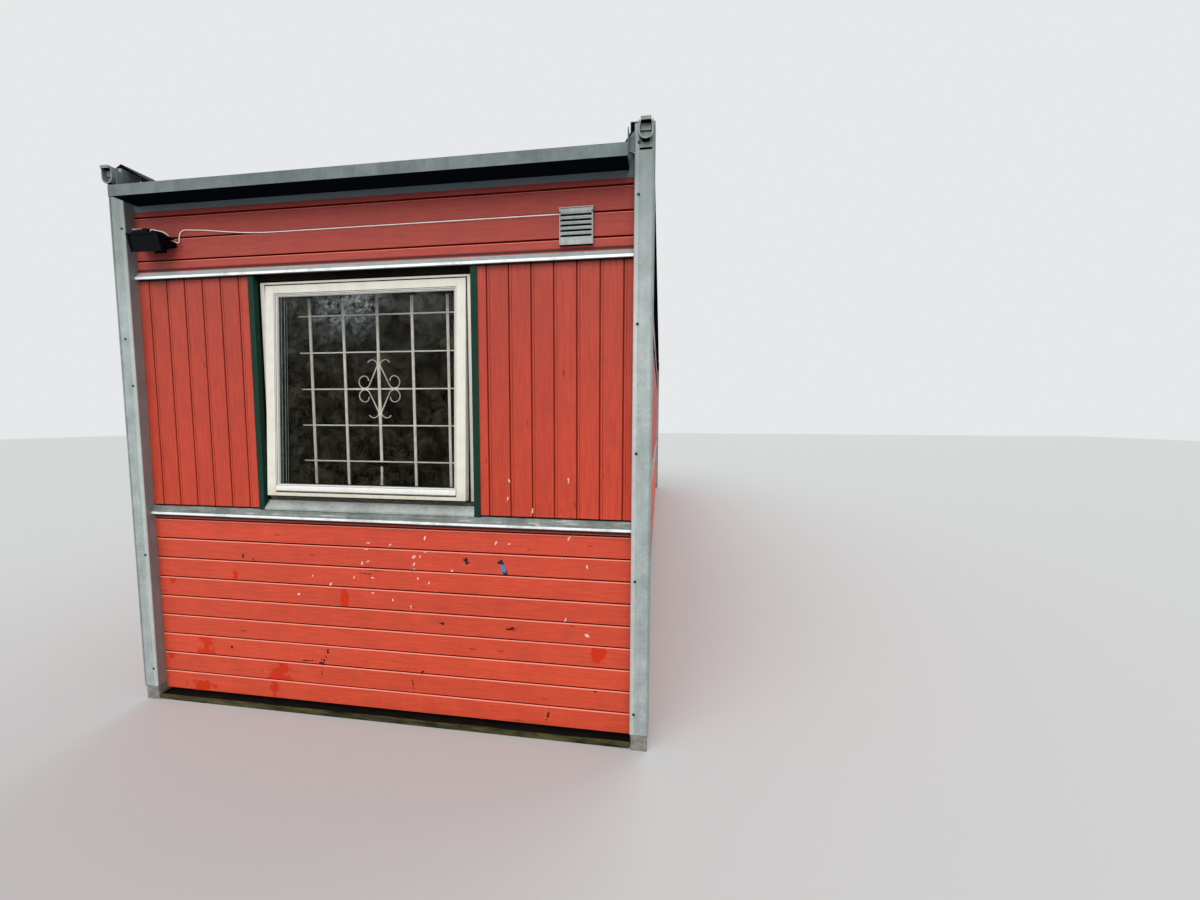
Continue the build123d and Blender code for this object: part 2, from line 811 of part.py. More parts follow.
def place_corners(name, shape):
    return {name + "_front_right": to_front(shape),
            name + "_front_left": to_front(left_handed(shape)),
            name + "_back_right": to_back(left_handed(shape)),
            name + "_back_left": to_back(shape)}


def build_cabin():
    nodes = {}
    nodes.update(place_corners("corner_post", corner_post()))
    nodes.update(place_corners("lifting_hook", lifting_hook()))
    nodes["post_feet"] = group(place_corners("foot", post_foot()).values())
    nodes["ground_bearers"] = ground_bearers()
    nodes["floor_slab"] = cassette(bearer_height, floor_top)
    nodes["front_wall"] = front_wall()
    nodes["back_wall"] = back_wall()
    nodes["left_wall"] = to_left(side_core())
    nodes["right_wall"] = to_right(side_core())
    nodes["roof_slab"] = cassette(ceiling, roof_top)
    nodes["roof_membrane"] = roof_membrane()
    nodes["roof_flaps"] = roof_flaps()

    end_edge = end_fascia(post_inner, -end_eave_reach)
    nodes["front_fascia"] = to_front(end_edge)
    nodes["back_fascia"] = to_back(end_edge)
    nodes["side_fascias"] = side_fascias()

    bottom, middle, top = band_levels()
    nodes["front_boards_bottom"] = to_front(board_panel(-post_inner, post_inner, *bottom))
    nodes["front_boards_middle"] = to_front(group([
        board_panel(-post_inner, window_centre - trim_outer, *middle),
        board_panel(window_centre + trim_outer, post_inner, *middle)]))
    nodes["front_boards_top"] = to_front(board_panel(-post_inner, post_inner, *top))
    nodes["back_boards"] = back_boards()
    side_run = half_length - post_side
    nodes["left_boards"] = to_left(group(full_bands(side_run)))
    nodes["right_boards"] = to_right(group(full_bands(side_run)))

    rail_run = post_inner - rail_end_gap
    nodes["front_rail_lower"] = to_front(lower_rail(-rail_run, rail_run))
    nodes["front_rail_upper"] = to_front(upper_rail(-rail_run, rail_run))
    nodes["back_rails"] = back_rails()
    nodes["side_rails"] = side_rails()

    nodes["window_frame"] = window_frame()
    nodes["window_sash"] = window_sash()
    nodes["window_glass"] = window_glass()
    nodes["window_grille"] = window_grille()
    trim_top = upper_rail_bottom - trim_top_gap
    nodes["window_trims"] = to_front(side_trims(window_centre, hole_half, lower_rail_top, trim_top))
    nodes["window_sill_flashing"] = window_sill_flashing()

    nodes["vent"] = vent()
    nodes["floodlight"] = floodlight()
    nodes["floodlight_bracket"] = floodlight_bracket()
    nodes["lamp_cable"] = lamp_cable()

    nodes["door_frame"] = door_frame()
    nodes["door_leaf"] = door_leaf()
    nodes["door_handle"] = door_handle()
    nodes["door_trims"] = to_back(side_trims(door_centre, door_frame_half, floor_top, trim_top))
    return nodes


os.makedirs("parts", exist_ok=True)
cabin = build_cabin()
for name, shape in cabin.items():
    shape.label = name
    export_step(shape, "parts/" + name + ".step")
print(len(cabin), "sub-parts written")
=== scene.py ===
# %% [markdown]
# # A portable site cabin
# The real thing is a timber box, 2.9 m wide and 8.4 m long, boarded in red and set between four
# galvanised steel posts. The construction is already modelled at its real size, so this lesson only
# dresses it: separate boards, joinery with beads and joints, fasteners, and a finish for every surface.

# %% Load the construction
import math
import random

import bmesh
import bpy
from mathutils import Matrix, Vector


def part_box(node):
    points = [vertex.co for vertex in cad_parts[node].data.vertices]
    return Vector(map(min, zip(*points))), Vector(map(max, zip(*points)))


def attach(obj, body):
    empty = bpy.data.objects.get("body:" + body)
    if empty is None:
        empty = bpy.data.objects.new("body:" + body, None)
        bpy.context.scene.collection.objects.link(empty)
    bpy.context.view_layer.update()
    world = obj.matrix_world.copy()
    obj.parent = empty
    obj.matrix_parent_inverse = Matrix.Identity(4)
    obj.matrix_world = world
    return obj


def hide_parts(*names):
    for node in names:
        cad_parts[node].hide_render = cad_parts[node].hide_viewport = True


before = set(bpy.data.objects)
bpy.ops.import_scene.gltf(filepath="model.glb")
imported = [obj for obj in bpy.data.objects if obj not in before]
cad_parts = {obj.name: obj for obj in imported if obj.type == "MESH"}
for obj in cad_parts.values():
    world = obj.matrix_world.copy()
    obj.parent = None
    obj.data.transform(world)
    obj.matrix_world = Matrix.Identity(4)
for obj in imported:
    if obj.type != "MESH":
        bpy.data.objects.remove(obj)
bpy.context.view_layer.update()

# %% [markdown]
# ## Camera
# A wide phone lens took the picture from about two metres away, close to the right-hand post. Its
# place and angles came from the boards' known pitch, so straight lines fall where they do in the picture.
# A camera is set by three axes: right, up and backwards.

# %% Camera
picture_width = 1200
focal_length = 433.63
sensor_width = 36.0
camera_place = Vector((1.487, -6.224, 1.630))
yaw = math.radians(-7.852)
pitch = math.radians(4.121)
roll = -0.00373

forward = Vector((math.sin(yaw) * math.cos(pitch), math.cos(yaw) * math.cos(pitch), -math.sin(pitch)))
level_right = Vector((math.cos(yaw), -math.sin(yaw), 0.0))
level_down = forward.cross(level_right)
right = math.cos(roll) * level_right + math.sin(roll) * level_down
down = -math.sin(roll) * level_right + math.cos(roll) * level_down

camera_data = bpy.data.cameras.new("camera")
camera_data.sensor_width = sensor_width
camera_data.lens = sensor_width * focal_length / picture_width
camera = bpy.data.objects.new("camera", camera_data)
bpy.context.scene.collection.objects.link(camera)
camera_turn = Matrix((right, -down, -forward)).transposed().to_4x4()
camera.matrix_world = Matrix.Translation(camera_place) @ camera_turn
bpy.context.scene.camera = camera
print("lens", round(camera_data.lens, 2), "mm")

# %% [markdown]
# ## Node helper and colours
# Every finish below is built from nodes. One small function adds a node, sets it and links it. Colours
# are written as the hex values a painter would pick and turned to linear light, which the renderer needs.
# Lengths are in metres, and mm is a thousandth of one.

# %% Node helper
mm = 0.001


def linear(hex_colour):
    """sRGB hex to the linear RGBA that nodes use."""
    values = [int(hex_colour[i:i + 2], 16) / 255 for i in (1, 3, 5)]
    return [v / 12.92 if v <= 0.04045 else ((v + 0.055) / 1.055) ** 2.4 for v in values] + [1.0]


def add(tree, kind, inputs=None, **settings):
    """Add a node. Settings go on the node itself; an input takes a value or another node's output."""
    node = tree.nodes.new("ShaderNode" + kind)
    for name, value in settings.items():
        setattr(node, name, value)
    for key, value in (inputs or {}).items():
        if isinstance(value, bpy.types.NodeSocket):
            tree.links.new(value, node.inputs[key])
        else:
            node.inputs[key].default_value = value
    return node


def new_material(name, **surface_values):
    """A material with one Principled surface, and its node tree and surface to build on."""
    material = bpy.data.materials.new(name)
    material.use_nodes = True
    tree = material.node_tree
    surface = tree.nodes["Principled BSDF"]
    for key, value in surface_values.items():
        surface.inputs[key.replace("_", " ")].default_value = value
    return material, tree, surface


def where(tree, source, low, high, soft=0.5 * mm):
    """1 between two values of a source and 0 outside them, with soft ends."""
    rise = add(tree, "MapRange", {0: source, 1: low - soft, 2: low + soft}).outputs[0]
    fall = add(tree, "MapRange", {0: source, 1: high + soft, 2: high - soft}).outputs[0]
    return add(tree, "Math", {0: rise, 1: fall}, operation="MULTIPLY").outputs[0]


print("linear mid grey", round(linear("#808080")[0], 3))

# %% [markdown]
# ## Light and floor
# An overcast sky lights the cabin from everywhere and a little more from above and in front. A uniform
# world gives the first. One broad, very soft sun gives the second, and a weaker one behind the cabin
# keeps the far end legible, so colours stay about as they are written. What the camera, mirrors and
# glass see of the world is a plain pale backdrop of its own.

# %% World
sky_strength = 0.76
world = bpy.data.worlds.new("overcast")
world.use_nodes = True
tree = world.node_tree
tree.nodes.clear()
rays = add(tree, "LightPath").outputs
seen = rays["Is Camera Ray"]
for kind in ("Is Glossy Ray", "Is Transmission Ray"):
    seen = add(tree, "Math", {0: seen, 1: rays[kind]}, operation="MAXIMUM").outputs[0]
sky_light = add(tree, "Background", {"Color": linear("#E9EDF2"), "Strength": sky_strength})
backdrop = add(tree, "Background", {"Color": linear("#E6E8E9"), "Strength": 1.0})
either = add(tree, "MixShader", {0: seen, 1: sky_light.outputs[0], 2: backdrop.outputs[0]})
add(tree, "OutputWorld", {"Surface": either.outputs[0]})
bpy.context.scene.world = world
bpy.context.scene.view_settings.view_transform = "Standard"
print("sky light at", sky_strength)

# %% Suns and floor
sun_width = math.radians(70)
suns = {"front_sun": (1.75, (0.16, 1.0, -1.0)), "back_sun": (1.0, (-0.3, -1.0, -0.9))}
for name, (strength, aim) in suns.items():
    sun_data = bpy.data.lights.new(name, "SUN")
    sun_data.energy = strength
    sun_data.angle = sun_width
    sun = bpy.data.objects.new(name, sun_data)
    sun.rotation_mode = "QUATERNION"
    sun.rotation_quaternion = Vector(aim).to_track_quat("-Z", "Y")
    bpy.context.scene.collection.objects.link(sun)

floor_reach = 45.0
floor_mesh = bpy.data.meshes.new("floor")
floor_corners = [(x * floor_reach, y * floor_reach, 0) for x, y in ((-1, -1), (1, -1), (1, 1), (-1, 1))]
floor_mesh.from_pydata(floor_corners, [], [(0, 1, 2, 3)])
floor = bpy.data.objects.new("floor", floor_mesh)
bpy.context.scene.collection.objects.link(floor)
floor_paint, tree, surface = new_material("studio_floor", Base_Color=linear("#C2C2C0"), Roughness=0.9)
surface.inputs["Specular IOR Level"].default_value = 0.1
floor_mesh.materials.append(floor_paint)
print("floor", 2 * floor_reach, "m square")

# %% [markdown]
# ## Walls as drawing boards
# Each wall is easiest to think about flat: u runs along it to the right, d goes inwards from the posts'
# outer face and z goes up. A matrix for each wall then puts what is drawn there into place.

# %% Wall frames
post_low, post_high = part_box("corner_post_front_right")
half_width = post_high.x
half_length = -post_low.y
post_inner = post_low.x


def wall_frame(turn, half):
    """The matrix of a wall that is turned by some degrees and stands half a cabin from the middle."""
    return Matrix.Rotation(math.radians(turn), 4, "Z") @ Matrix.Translation((0, -half, 0))


walls = {"front": wall_frame(0, half_length), "back": wall_frame(180, half_length),
         "right": wall_frame(90, half_width), "left": wall_frame(-90, half_width)}
board_low, board_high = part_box("front_boards_bottom")
board_face = board_low.y + half_length
board_back = board_high.y + half_length
print("boards from", round(board_face, 3), "to", round(board_back, 3), "m behind the posts' face")

# %% [markdown]
# ## Making pieces
# Pieces are built with bmesh and then ride on the cabin. A vertex layer named grain keeps three
# numbers: metres along the timber, metres across it, and a number of its own for each board, so one
# timber finish serves boards that lie any way. A second layer, shadowed, runs from 0 on an open face
# to 1 deep in a joint, where it paints shade, and to -1 on a chamfer, where it paints a highlight.

# %% Starting and finishing a piece


def begin():
    """An empty shape with the two layers that the timber finish reads."""
    shape = bmesh.new()
    shape.verts.layers.float_vector.new("grain")
    shape.verts.layers.float.new("shadowed")
    return shape


def finish_piece(name, shape, material, stands_for=()):
    """Turn a bmesh into a piece of the cabin with the given material, and hide the construction nodes that
    it stands for.
    """
    mesh = bpy.data.meshes.new(name)
    bmesh.ops.recalc_face_normals(shape, faces=shape.faces)
    shape.to_mesh(mesh)
    shape.free()
    mesh.materials.append(material)
    made = bpy.data.objects.new(name, mesh)
    bpy.context.scene.collection.objects.link(made)
    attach(made, "root")
    if stands_for:
        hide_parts(*stands_for)
    print(name, sum(len(p.vertices) - 2 for p in mesh.polygons), "triangles")
    return made


# %% Bars and mitred frames


def skin(shape, loops, capped=True):
    """Join each loop of vertices to the next by four-sided faces, and close both ends."""
    count = len(loops[0])
    for first, second in zip(loops, loops[1:]):
        for i in range(count):
            j = (i + 1) % count
            shape.faces.new((first[i], first[j], second[j], second[i]))
    if capped:
        shape.faces.new(loops[0])
        shape.faces.new(loops[-1])


def bar(shape, wall, low, high, bevel=0.0, lies="u", seed=0.0):
    """A squared length of material between two (u, d, z) corners, with its arrises taken off."""
    grain = shape.verts.layers.float_vector["grain"]
    verts = bmesh.ops.create_cube(shape, size=1.0)["verts"]
    for vert in verts:
        place = [low[i] if vert.co[i] < 0 else high[i] for i in range(3)]
        vert.co = walls[wall] @ Vector(place)
        along, across = (place[0], place[2]) if lies == "u" else (place[2], place[0])
        vert[grain] = (along + seed * 3.1, across + place[1], seed)
    if bevel:
        edges = list({edge for vert in verts for edge in vert.link_edges})
        bmesh.ops.bevel(shape, geom=edges, offset=bevel, segments=2, affect="EDGES", profile=0.6)


def ring(shape, wall, section, seed=0.0):
    """A mitred frame. Each section point is (u_low, u_high, z_low, z_high, d) at the four corners."""
    grain = shape.verts.layers.float_vector["grain"]
    loops = []
    for u_low, u_high, z_low, z_high, d in section:
        loop = []
        for u, z in ((u_low, z_low), (u_high, z_low), (u_high, z_high), (u_low, z_high)):
            vert = shape.verts.new(walls[wall] @ Vector((u, d, z)))
            vert[grain] = (u + z, d, seed)
            loop.append(vert)
        loops.append(loop)
    skin(shape, loops + loops[:1], capped=False)


def inset(opening, out, d):
    """The opening's four limits moved outwards, at a depth, as one point of a ring's section."""
    u_low, u_high, z_low, z_high = opening
    return (u_low - out, u_high + out, z_low - out, z_high + out, d)


print("walls", list(walls))

# %% [markdown]
# ## Paint on sawn boards
# The cladding is spruce with a band-sawn face, painted red many times. The paint is matt and follows the
# saw marks. Its red darkens from salmon low down to deep red under the eave: painted shade. Grain and saw
# marks are drawn along each board's own direction, from the grain layer.

# %% What varies along and across a board
grain_width = 5 * mm
saw_mark_pitch = 9 * mm
blotch_size = 180 * mm
# Each pattern: what it is drawn on, how often it repeats in a metre along each axis, its detail and
# roughness, and the darkest and lightest that it makes the paint. Real fibres are finer than this.
board_patterns = {
    "fibre": ("grain", (1 / (30 * grain_width), 1 / grain_width, 5.0), 3.0, 0.5, 0.87, 1.11),
    "saw": ("grain", (1 / saw_mark_pitch, 12.0, 5.0), 2.0, 0.5, 0.97, 1.03),
    "blotch": ("place", (1 / blotch_size, 1 / blotch_size, 1 / blotch_size), 4.0, 0.6, 0.92, 1.08),
    "runs": ("place", (32.0, 32.0, 2.2), 3.0, 0.5, 0.98, 1.02),
    "streaks": ("grain", (8.0, 75.0, 5.0), 4.0, 0.65, 0.87, 1.11)}


def sawn_patterns(tree, place, grain, board_number):
    """The noises of a sawn face by name, and the shade that they and each board's own tone make."""
    tone = add(tree, "TexWhiteNoise", {"W": board_number}, noise_dimensions="1D").outputs["Value"]
    shade = add(tree, "MapRange", {0: tone, 3: 0.93, 4: 1.05}).outputs[0]
    noises = {}
    for name, (drawn_on, per_metre, detail, roughness, darkest, lightest) in board_patterns.items():
        source = grain if drawn_on == "grain" else place
        spot = add(tree, "VectorMath", {0: source, 1: per_metre}, operation="MULTIPLY").outputs[0]
        noise = add(tree, "TexNoise", {"Vector": spot, "Scale": 1.0, "Detail": detail,
                                       "Roughness": roughness}).outputs["Fac"]
        noises[name] = noise
        swing = add(tree, "MapRange", {0: noise, 1: 0.25, 2: 0.75, 3: darkest, 4: lightest}).outputs[0]
        shade = add(tree, "Math", {0: shade, 1: swing}, operation="MULTIPLY").outputs[0]
    return noises, shade


print("board patterns", list(board_patterns))

# %% [markdown]
# Three things darken the paint in places. Heat and insects leave soot round the lamp, knots show
# through as darker ovals, and the strips just over and under each rail get painted shade.

# %% Soot, knots and shadows by the rails
lamp_low, lamp_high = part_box("floodlight")
soot_drop = 50 * mm
rail_names = ("front_rail_lower", "front_rail_upper")


def soot_by_lamp(tree, place):
    """Thickest just under the lamp, and gone about 20 cm away from it."""
    source = ((lamp_low.x + lamp_high.x) / 2, lamp_low.y, lamp_low.z - soot_drop)
    away = add(tree, "VectorMath", {0: place, 1: source}, operation="SUBTRACT").outputs[0]
    away = add(tree, "VectorMath", {0: away, 1: (7.5, 2.5, 5.5)}, operation="MULTIPLY").outputs[0]
    away = add(tree, "VectorMath", {0: away}, operation="LENGTH").outputs["Value"]
    return add(tree, "MapRange", {0: away, 1: 0.25, 2: 1.15, 3: 0.55, 4: 0.0},
               interpolation_type="SMOOTHSTEP").outputs[0]


def knots_in_boards(tree, grain):
    """Cells drawn out along the grain; the middle of each is a knot."""
    spot = add(tree, "VectorMath", {0: grain, 1: (3.1, 8.9, 13.7)}, operation="MULTIPLY").outputs[0]
    cells = add(tree, "TexVoronoi", {"Vector": spot, "Scale": 1.0}).outputs["Distance"]
    return add(tree, "MapRange", {0: cells, 1: 0.045, 2: 0.075, 3: 0.55, 4: 0.0}).outputs[0]


def shadows_by_rails(tree, height):
    """The shares of painted shade over and under both rails; each band is low, high, softness in mm and
    share.
    """
    shares = []
    for rail in rail_names:
        rail_foot, rail_top = (corner.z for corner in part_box(rail))
        rise = (rail_top - rail_foot) / mm
        above, below = (18, -5) if rail == "front_rail_upper" else (9, -16)
        for low, high, soft, share in ((below - 20, 12, 12, 0.35), (below, 12, 3, 0.92),
                                       (rise + 4, rise + above, 3, 0.85)):
            near = where(tree, height, rail_foot + low * mm, rail_foot + high * mm, soft * mm)
            shares.append(add(tree, "Math", {0: near, 1: share}, operation="MULTIPLY").outputs[0])
    return shares


print("shadows by", rail_names)

# %% Material: red paint on sawn boards
red_from, red_to = 0.3, 2.75
# The paint's red at shares of the height between those two, darker upwards and darkest under the eave:
# painted shade.
reds = ((0.0, "#D54D31"), (0.31, "#CF4A33"), (0.36, "#C6432B"), (0.60, "#BE4431"), (0.80, "#B24433"),
        (0.88, "#AE473B"), (0.955, "#A04038"), (1.0, "#742826"))


def red_boards_finish(name):
    """Alkyd house paint on sawn spruce: matt, slightly uneven, coarse under the coats."""
    material, tree, surface = new_material(name)
    place = add(tree, "TexCoord").outputs["Object"]
    grain = add(tree, "Attribute", attribute_name="grain").outputs["Vector"]
    shadowed = add(tree, "Attribute", attribute_name="shadowed").outputs["Fac"]
    height = add(tree, "SeparateXYZ", {0: place}).outputs["Z"]
    board_number = add(tree, "SeparateXYZ", {0: grain}).outputs["Z"]
    noises, shade = sawn_patterns(tree, place, grain, board_number)

    # The red by height is painted shade, deepest under the eave.
    level = add(tree, "MapRange", {0: height, 1: red_from, 2: red_to}).outputs[0]
    height_shaded_red = add(tree, "ValToRGB", {0: level})
    stops = height_shaded_red.color_ramp.elements
    stops[0].color, stops[1].color = linear(reds[0][1]), linear(reds[-1][1])
    for position, red in reds[1:-1]:
        stops.new(position).color = linear(red)
    colour = add(tree, "VectorMath", {0: height_shaded_red.outputs[0], 3: shade}, operation="SCALE").outputs[0]

    crack = add(tree, "MapRange", {0: noises["streaks"], 1: 0.68, 2: 0.73, 3: 0.0, 4: 0.55}).outputs[0]
    # lit is a painted highlight on the chamfers, and dark is painted shade in the joints.
    lit = add(tree, "MapRange", {0: shadowed, 1: -0.2, 2: -1.0, 3: 0.0, 4: 0.85}).outputs[0]
    dark = add(tree, "MapRange", {0: shadowed}).outputs[0]
    layers = [(knots_in_boards(tree, grain), "#7A2A20"), (soot_by_lamp(tree, place), "#4A1C1A"),
              (crack, "#6E1F14"), (lit, "#FF9E88"), (dark, "#4A0802")]
    # The bands by the rails are painted shade.
    layers += [(share, "#1E0504") for share in shadows_by_rails(tree, height)]
    for share, tint in layers:
        colour = add(tree, "Mix", {0: share, 6: colour, 7: linear(tint)}, data_type="RGBA").outputs[2]
    tree.links.new(colour, surface.inputs["Base Color"])

    edges = add(tree, "Math", {0: dark, 1: lit}, operation="MAXIMUM").outputs[0]
    shine = add(tree, "MapRange", {0: edges, 3: 0.28, 4: 0.0}).outputs[0]
    tree.links.new(shine, surface.inputs["Specular IOR Level"])
    rough = add(tree, "MapRange", {0: noises["blotch"], 3: 0.52, 4: 0.72}).outputs[0]
    tree.links.new(rough, surface.inputs["Roughness"])
    relief = add(tree, "Math", {0: noises["fibre"], 1: noises["saw"]}, operation="ADD").outputs[0]
    bump = add(tree, "Bump", {"Strength": 0.55, "Distance": 0.7 * mm, "Height": relief})
    tree.links.new(bump.outputs[0], surface.inputs["Normal"])
    return material


red_boards = red_boards_finish("red_paint_on_sawn_boards")
print(red_boards.name, len(red_boards.node_tree.nodes), "nodes")

# %% [markdown]
# ## Cladding boards
# The boards are about 112 mm wide, tongued together. Each has a small chamfer on one edge and stands a
# few millimetres clear of the next, which draws a dark line with a bright one under it on the boards
# that lie flat; painted shade in the joint and a painted highlight on the chamfer strengthen both. A
# board is its section drawn along its length, with a little wander in its edges as sawn timber has.

# %% A board's section
joint_depth = 5 * mm
round_over = 0.8 * mm
crisp = 0.3 * mm
flat_gap, flat_chamfer = 8 * mm, 4.4 * mm
upright_gap, upright_chamfer, upright_groove = 7 * mm, 1.6 * mm, 9 * mm
groove_width, groove_slope, groove_sink = 3.1 * mm, 0.9 * mm, 1.4 * mm


def board_section(low, high, face, gap, chamfer, groove):
    """The outline across a board as (across, depth, shadowed); gap is the joint at its low edge.
    Shadowed gives painted shade in the joint and a painted highlight on the chamfer.
    """
    in_joint = 0.72 if groove else 1.0
    section = [(low, board_back, in_joint), (low, board_face + joint_depth, in_joint)]
    if gap:
        section += [(low + gap, board_face + joint_depth, in_joint), (low + gap, face + round_over, 0.5),
                    (low + gap + round_over, face, 0.0)]
    else:
        section += [(low, face, 0.0)]
    if groove and gap:
        start = low + gap + groove
        section += [(start, face, 0.0), (start + groove_slope, face + groove_sink, 0.4),
                    (start + groove_width - groove_slope, face + groove_sink, 0.4),
                    (start + groove_width, face, 0.0)]
    section.append((high - chamfer, face, 0.0))
    if chamfer and not groove:
        section += [(high - chamfer + crisp, face + crisp, -1.0),
                    (high - crisp, face + chamfer - crisp, -1.0)]
    return section + [(high, face + chamfer, 0.3), (high, board_back, in_joint)]


# %% One board
board_step = 450 * mm
uneven_face, uneven_edge = 0.7, 0.6
random.seed(7)


def board(shape, wall, lies, low, high, start, end, gap, chamfer, groove=0.0):
    """One board from low to high across and start to end along, with the edges that it is given."""
    grain = shape.verts.layers.float_vector["grain"]
    shadowed = shape.verts.layers.float["shadowed"]
    seed = random.random() * 9
    face = board_face + random.uniform(0, uneven_face) * mm
    section = board_section(low, high, face, gap, chamfer, groove)
    steps = max(1, round((end - start) / board_step))
    loops = []
    for step in range(steps + 1):
        along = start + (end - start) * step / steps
        wander = random.uniform(-uneven_edge, uneven_edge) * mm if 0 < step < steps else 0.0
        loop = []
        for across, d, dark in section:
            moved = across + wander if low < across < high else across
            place = (along, d, moved) if lies == "flat" else (moved, d, along)
            vert = shape.verts.new(walls[wall] @ Vector(place))
            vert[grain] = (along, moved + d - face, seed)
            vert[shadowed] = dark
            loop.append(vert)
        loops.append(loop)
    skin(shape, loops)


print("faces stand up to", uneven_face, "mm proud of each other")

# %% Rows of boards
board_pitch = 112.1 * mm
thinnest_board = 3 * mm
clear_of_rail = 9 * mm
butt_gap = 0.4 * mm
first_butt, next_butt, butt_scatter = 0.36, 0.27, 0.3


def cuts(low, high, first, pitch):
    """The edges of boards that fill low to high, with a joint at first and every pitch from it."""
    start = math.ceil((low - first) / pitch + 0.02)
    places = [low]
    while first + start * pitch < high - thinnest_board:
        places.append(first + start * pitch)
        start += 1
    return places + [high]


def flat_boards(shape, wall, u_low, u_high, z_low, z_high, first, pitch=board_pitch, longest=9.0):
    """Boards that lie flat, cut into lengths with staggered joints where the wall is long."""
    edges = cuts(z_low, z_high, first, pitch)
    for row, (low, high) in enumerate(zip(edges, edges[1:])):
        joints = [u_low, u_high]
        if u_high - u_low > longest:
            share = first_butt + next_butt * (row % 2)
            scatter = random.uniform(-butt_scatter, butt_scatter)
            joints.insert(1, u_low + (u_high - u_low) * share + scatter)
        for start, end in zip(joints, joints[1:]):
            board(shape, wall, "flat", low, high, start + butt_gap, end - butt_gap,
                  flat_gap if row else 0.0, flat_chamfer if high < z_high else 0.0)


def upright_boards(shape, wall, u_low, u_high, z_low, z_high, first, pitch=board_pitch):
    """Boards that stand on a rail, a few millimetres clear of it, each with a fine groove."""
    edges = cuts(u_low, u_high, first, pitch)
    for row, (low, high) in enumerate(zip(edges, edges[1:])):
        board(shape, wall, "upright", low, high, z_low + clear_of_rail, z_high,
              upright_gap if row else 0.0, upright_chamfer if high < u_high else 0.0, upright_groove)


print("boards every", round(board_pitch / mm, 1), "mm")

# %% Boards on the front
bottom_low, bottom_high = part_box("front_boards_bottom")
middle_low, middle_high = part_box("front_boards_middle")
top_low, top_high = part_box("front_boards_top")
trim_low, trim_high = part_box("window_trims")
lower_joint, upper_joint = 1.0519, 2.4725
left_joint, right_joint = -1.2955, 0.6360
left_pitch, upper_pitch = 111 * mm, 114.5 * mm

shape = begin()
flat_boards(shape, "front", bottom_low.x, bottom_high.x, bottom_low.z, bottom_high.z, lower_joint)
finish_piece("front_cladding_bottom", shape, red_boards, ["front_boards_bottom"])
shape = begin()
upright_boards(shape, "front", middle_low.x, trim_low.x, middle_low.z, middle_high.z, left_joint,
               left_pitch)
upright_boards(shape, "front", trim_high.x, middle_high.x, middle_low.z, middle_high.z, right_joint)
finish_piece("front_cladding_middle", shape, red_boards, ["front_boards_middle"])
shape = begin()
flat_boards(shape, "front", top_low.x, top_high.x, top_low.z, top_high.z, upper_joint, upper_pitch)
finish_piece("front_cladding_top", shape, red_boards, ["front_boards_top"])

# %% [markdown]
# The long sides and the far end repeat the same three bands: flat boards, upright boards and flat
# boards again. At the far end they stop against the trims beside the door.

# %% Boards on the other walls
side_run = half_length - (half_width - post_inner)
longest_board = 5.4
door_low, door_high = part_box("door_trims")
door_left, door_right = sorted((-door_low.x, -door_high.x))
floor_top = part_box("floor_slab")[1].z
for wall in ("left", "right"):
    shape = begin()
    flat_boards(shape, wall, -side_run, side_run, bottom_low.z, bottom_high.z, lower_joint,
                longest=longest_board)
    upright_boards(shape, wall, -side_run, side_run, middle_low.z, middle_high.z, 0.0)
    flat_boards(shape, wall, -side_run, side_run, top_low.z, top_high.z, upper_joint, upper_pitch,
                longest_board)
    finish_piece(wall + "_cladding", shape, red_boards, [wall + "_boards"])

shape = begin()
for u_low, u_high in ((-post_inner, door_left), (door_right, post_inner)):
    flat_boards(shape, "back", u_low, u_high, bottom_low.z, bottom_high.z, lower_joint)
    upright_boards(shape, "back", u_low, u_high, middle_low.z, middle_high.z, left_joint)
flat_boards(shape, "back", door_left + mm, door_right - mm, bottom_low.z, floor_top, lower_joint)
flat_boards(shape, "back", -post_inner, post_inner, top_low.z, top_high.z, upper_joint, upper_pitch)
finish_piece("back_cladding", shape, red_boards, ["back_boards"])

# %% [markdown]
# ## Galvanised steel
# Posts, rails and roof edges are hot-dip galvanised. The zinc freezes in flat crystals a centimetre
# across, called spangle, each a slightly different grey, and outdoors it dulls to a soft grey-green
# with paler bloom and dirt that runs down. It is a metal, but so weathered that it shines very little.

# %% Stains, lips and bands on zinc


def stains_on_zinc(tree, place, strength):
    """Pale and dark streaks that lie level, as standing water leaves them."""
    spot = add(tree, "VectorMath", {0: place, 1: (7.0, 7.0, 70.0)}, operation="MULTIPLY").outputs[0]
    noise = add(tree, "TexNoise", {"Vector": spot, "Scale": 1.0, "Detail": 5.0, "Roughness": 0.7})
    noise = noise.outputs["Fac"]
    pale = add(tree, "MapRange", {0: noise, 1: 0.55, 2: 0.68, 3: 0.0, 4: strength}).outputs[0]
    dirty = add(tree, "MapRange", {0: noise, 1: 0.45, 2: 0.33, 3: 0.0, 4: strength}).outputs[0]
    return [(pale, "#BEC2BD"), (dirty, "#3C423E")]


def highlight_on_lips(tree, height, cloud, levels, tint):
    """A painted highlight on folded edges between given heights, stronger where the cloud of weathering is
    light.
    """
    lip_brightness = add(tree, "MapRange", {0: cloud, 1: 0.3, 2: 0.5, 3: 0.55, 4: 1.0}).outputs[0]
    layers = []
    for low, high in levels:
        inside = where(tree, height, low, high)
        layers.append((add(tree, "Math", {0: inside, 1: lip_brightness}, operation="MULTIPLY").outputs[0], tint))
    return layers


def bands_on_zinc(tree, place, bands):
    """Each band is an axis, two distances from the cabin's middle or the ground, a softness, a share
    and a colour."""
    layers = []
    for axis, low, high, soft, share, tint in bands:
        away = add(tree, "SeparateXYZ", {0: place}).outputs[axis]
        away = add(tree, "Math", {0: away}, operation="ABSOLUTE").outputs[0]
        inside = where(tree, away, low, high, soft)
        layers.append((add(tree, "Math", {0: inside, 1: share}, operation="MULTIPLY").outputs[0], tint))
    return layers


print("each gives shares and colours to lay over the zinc")

# %% Material: weathered galvanised steel
spangle_size = 8 * mm
weathered_metal = 0.25


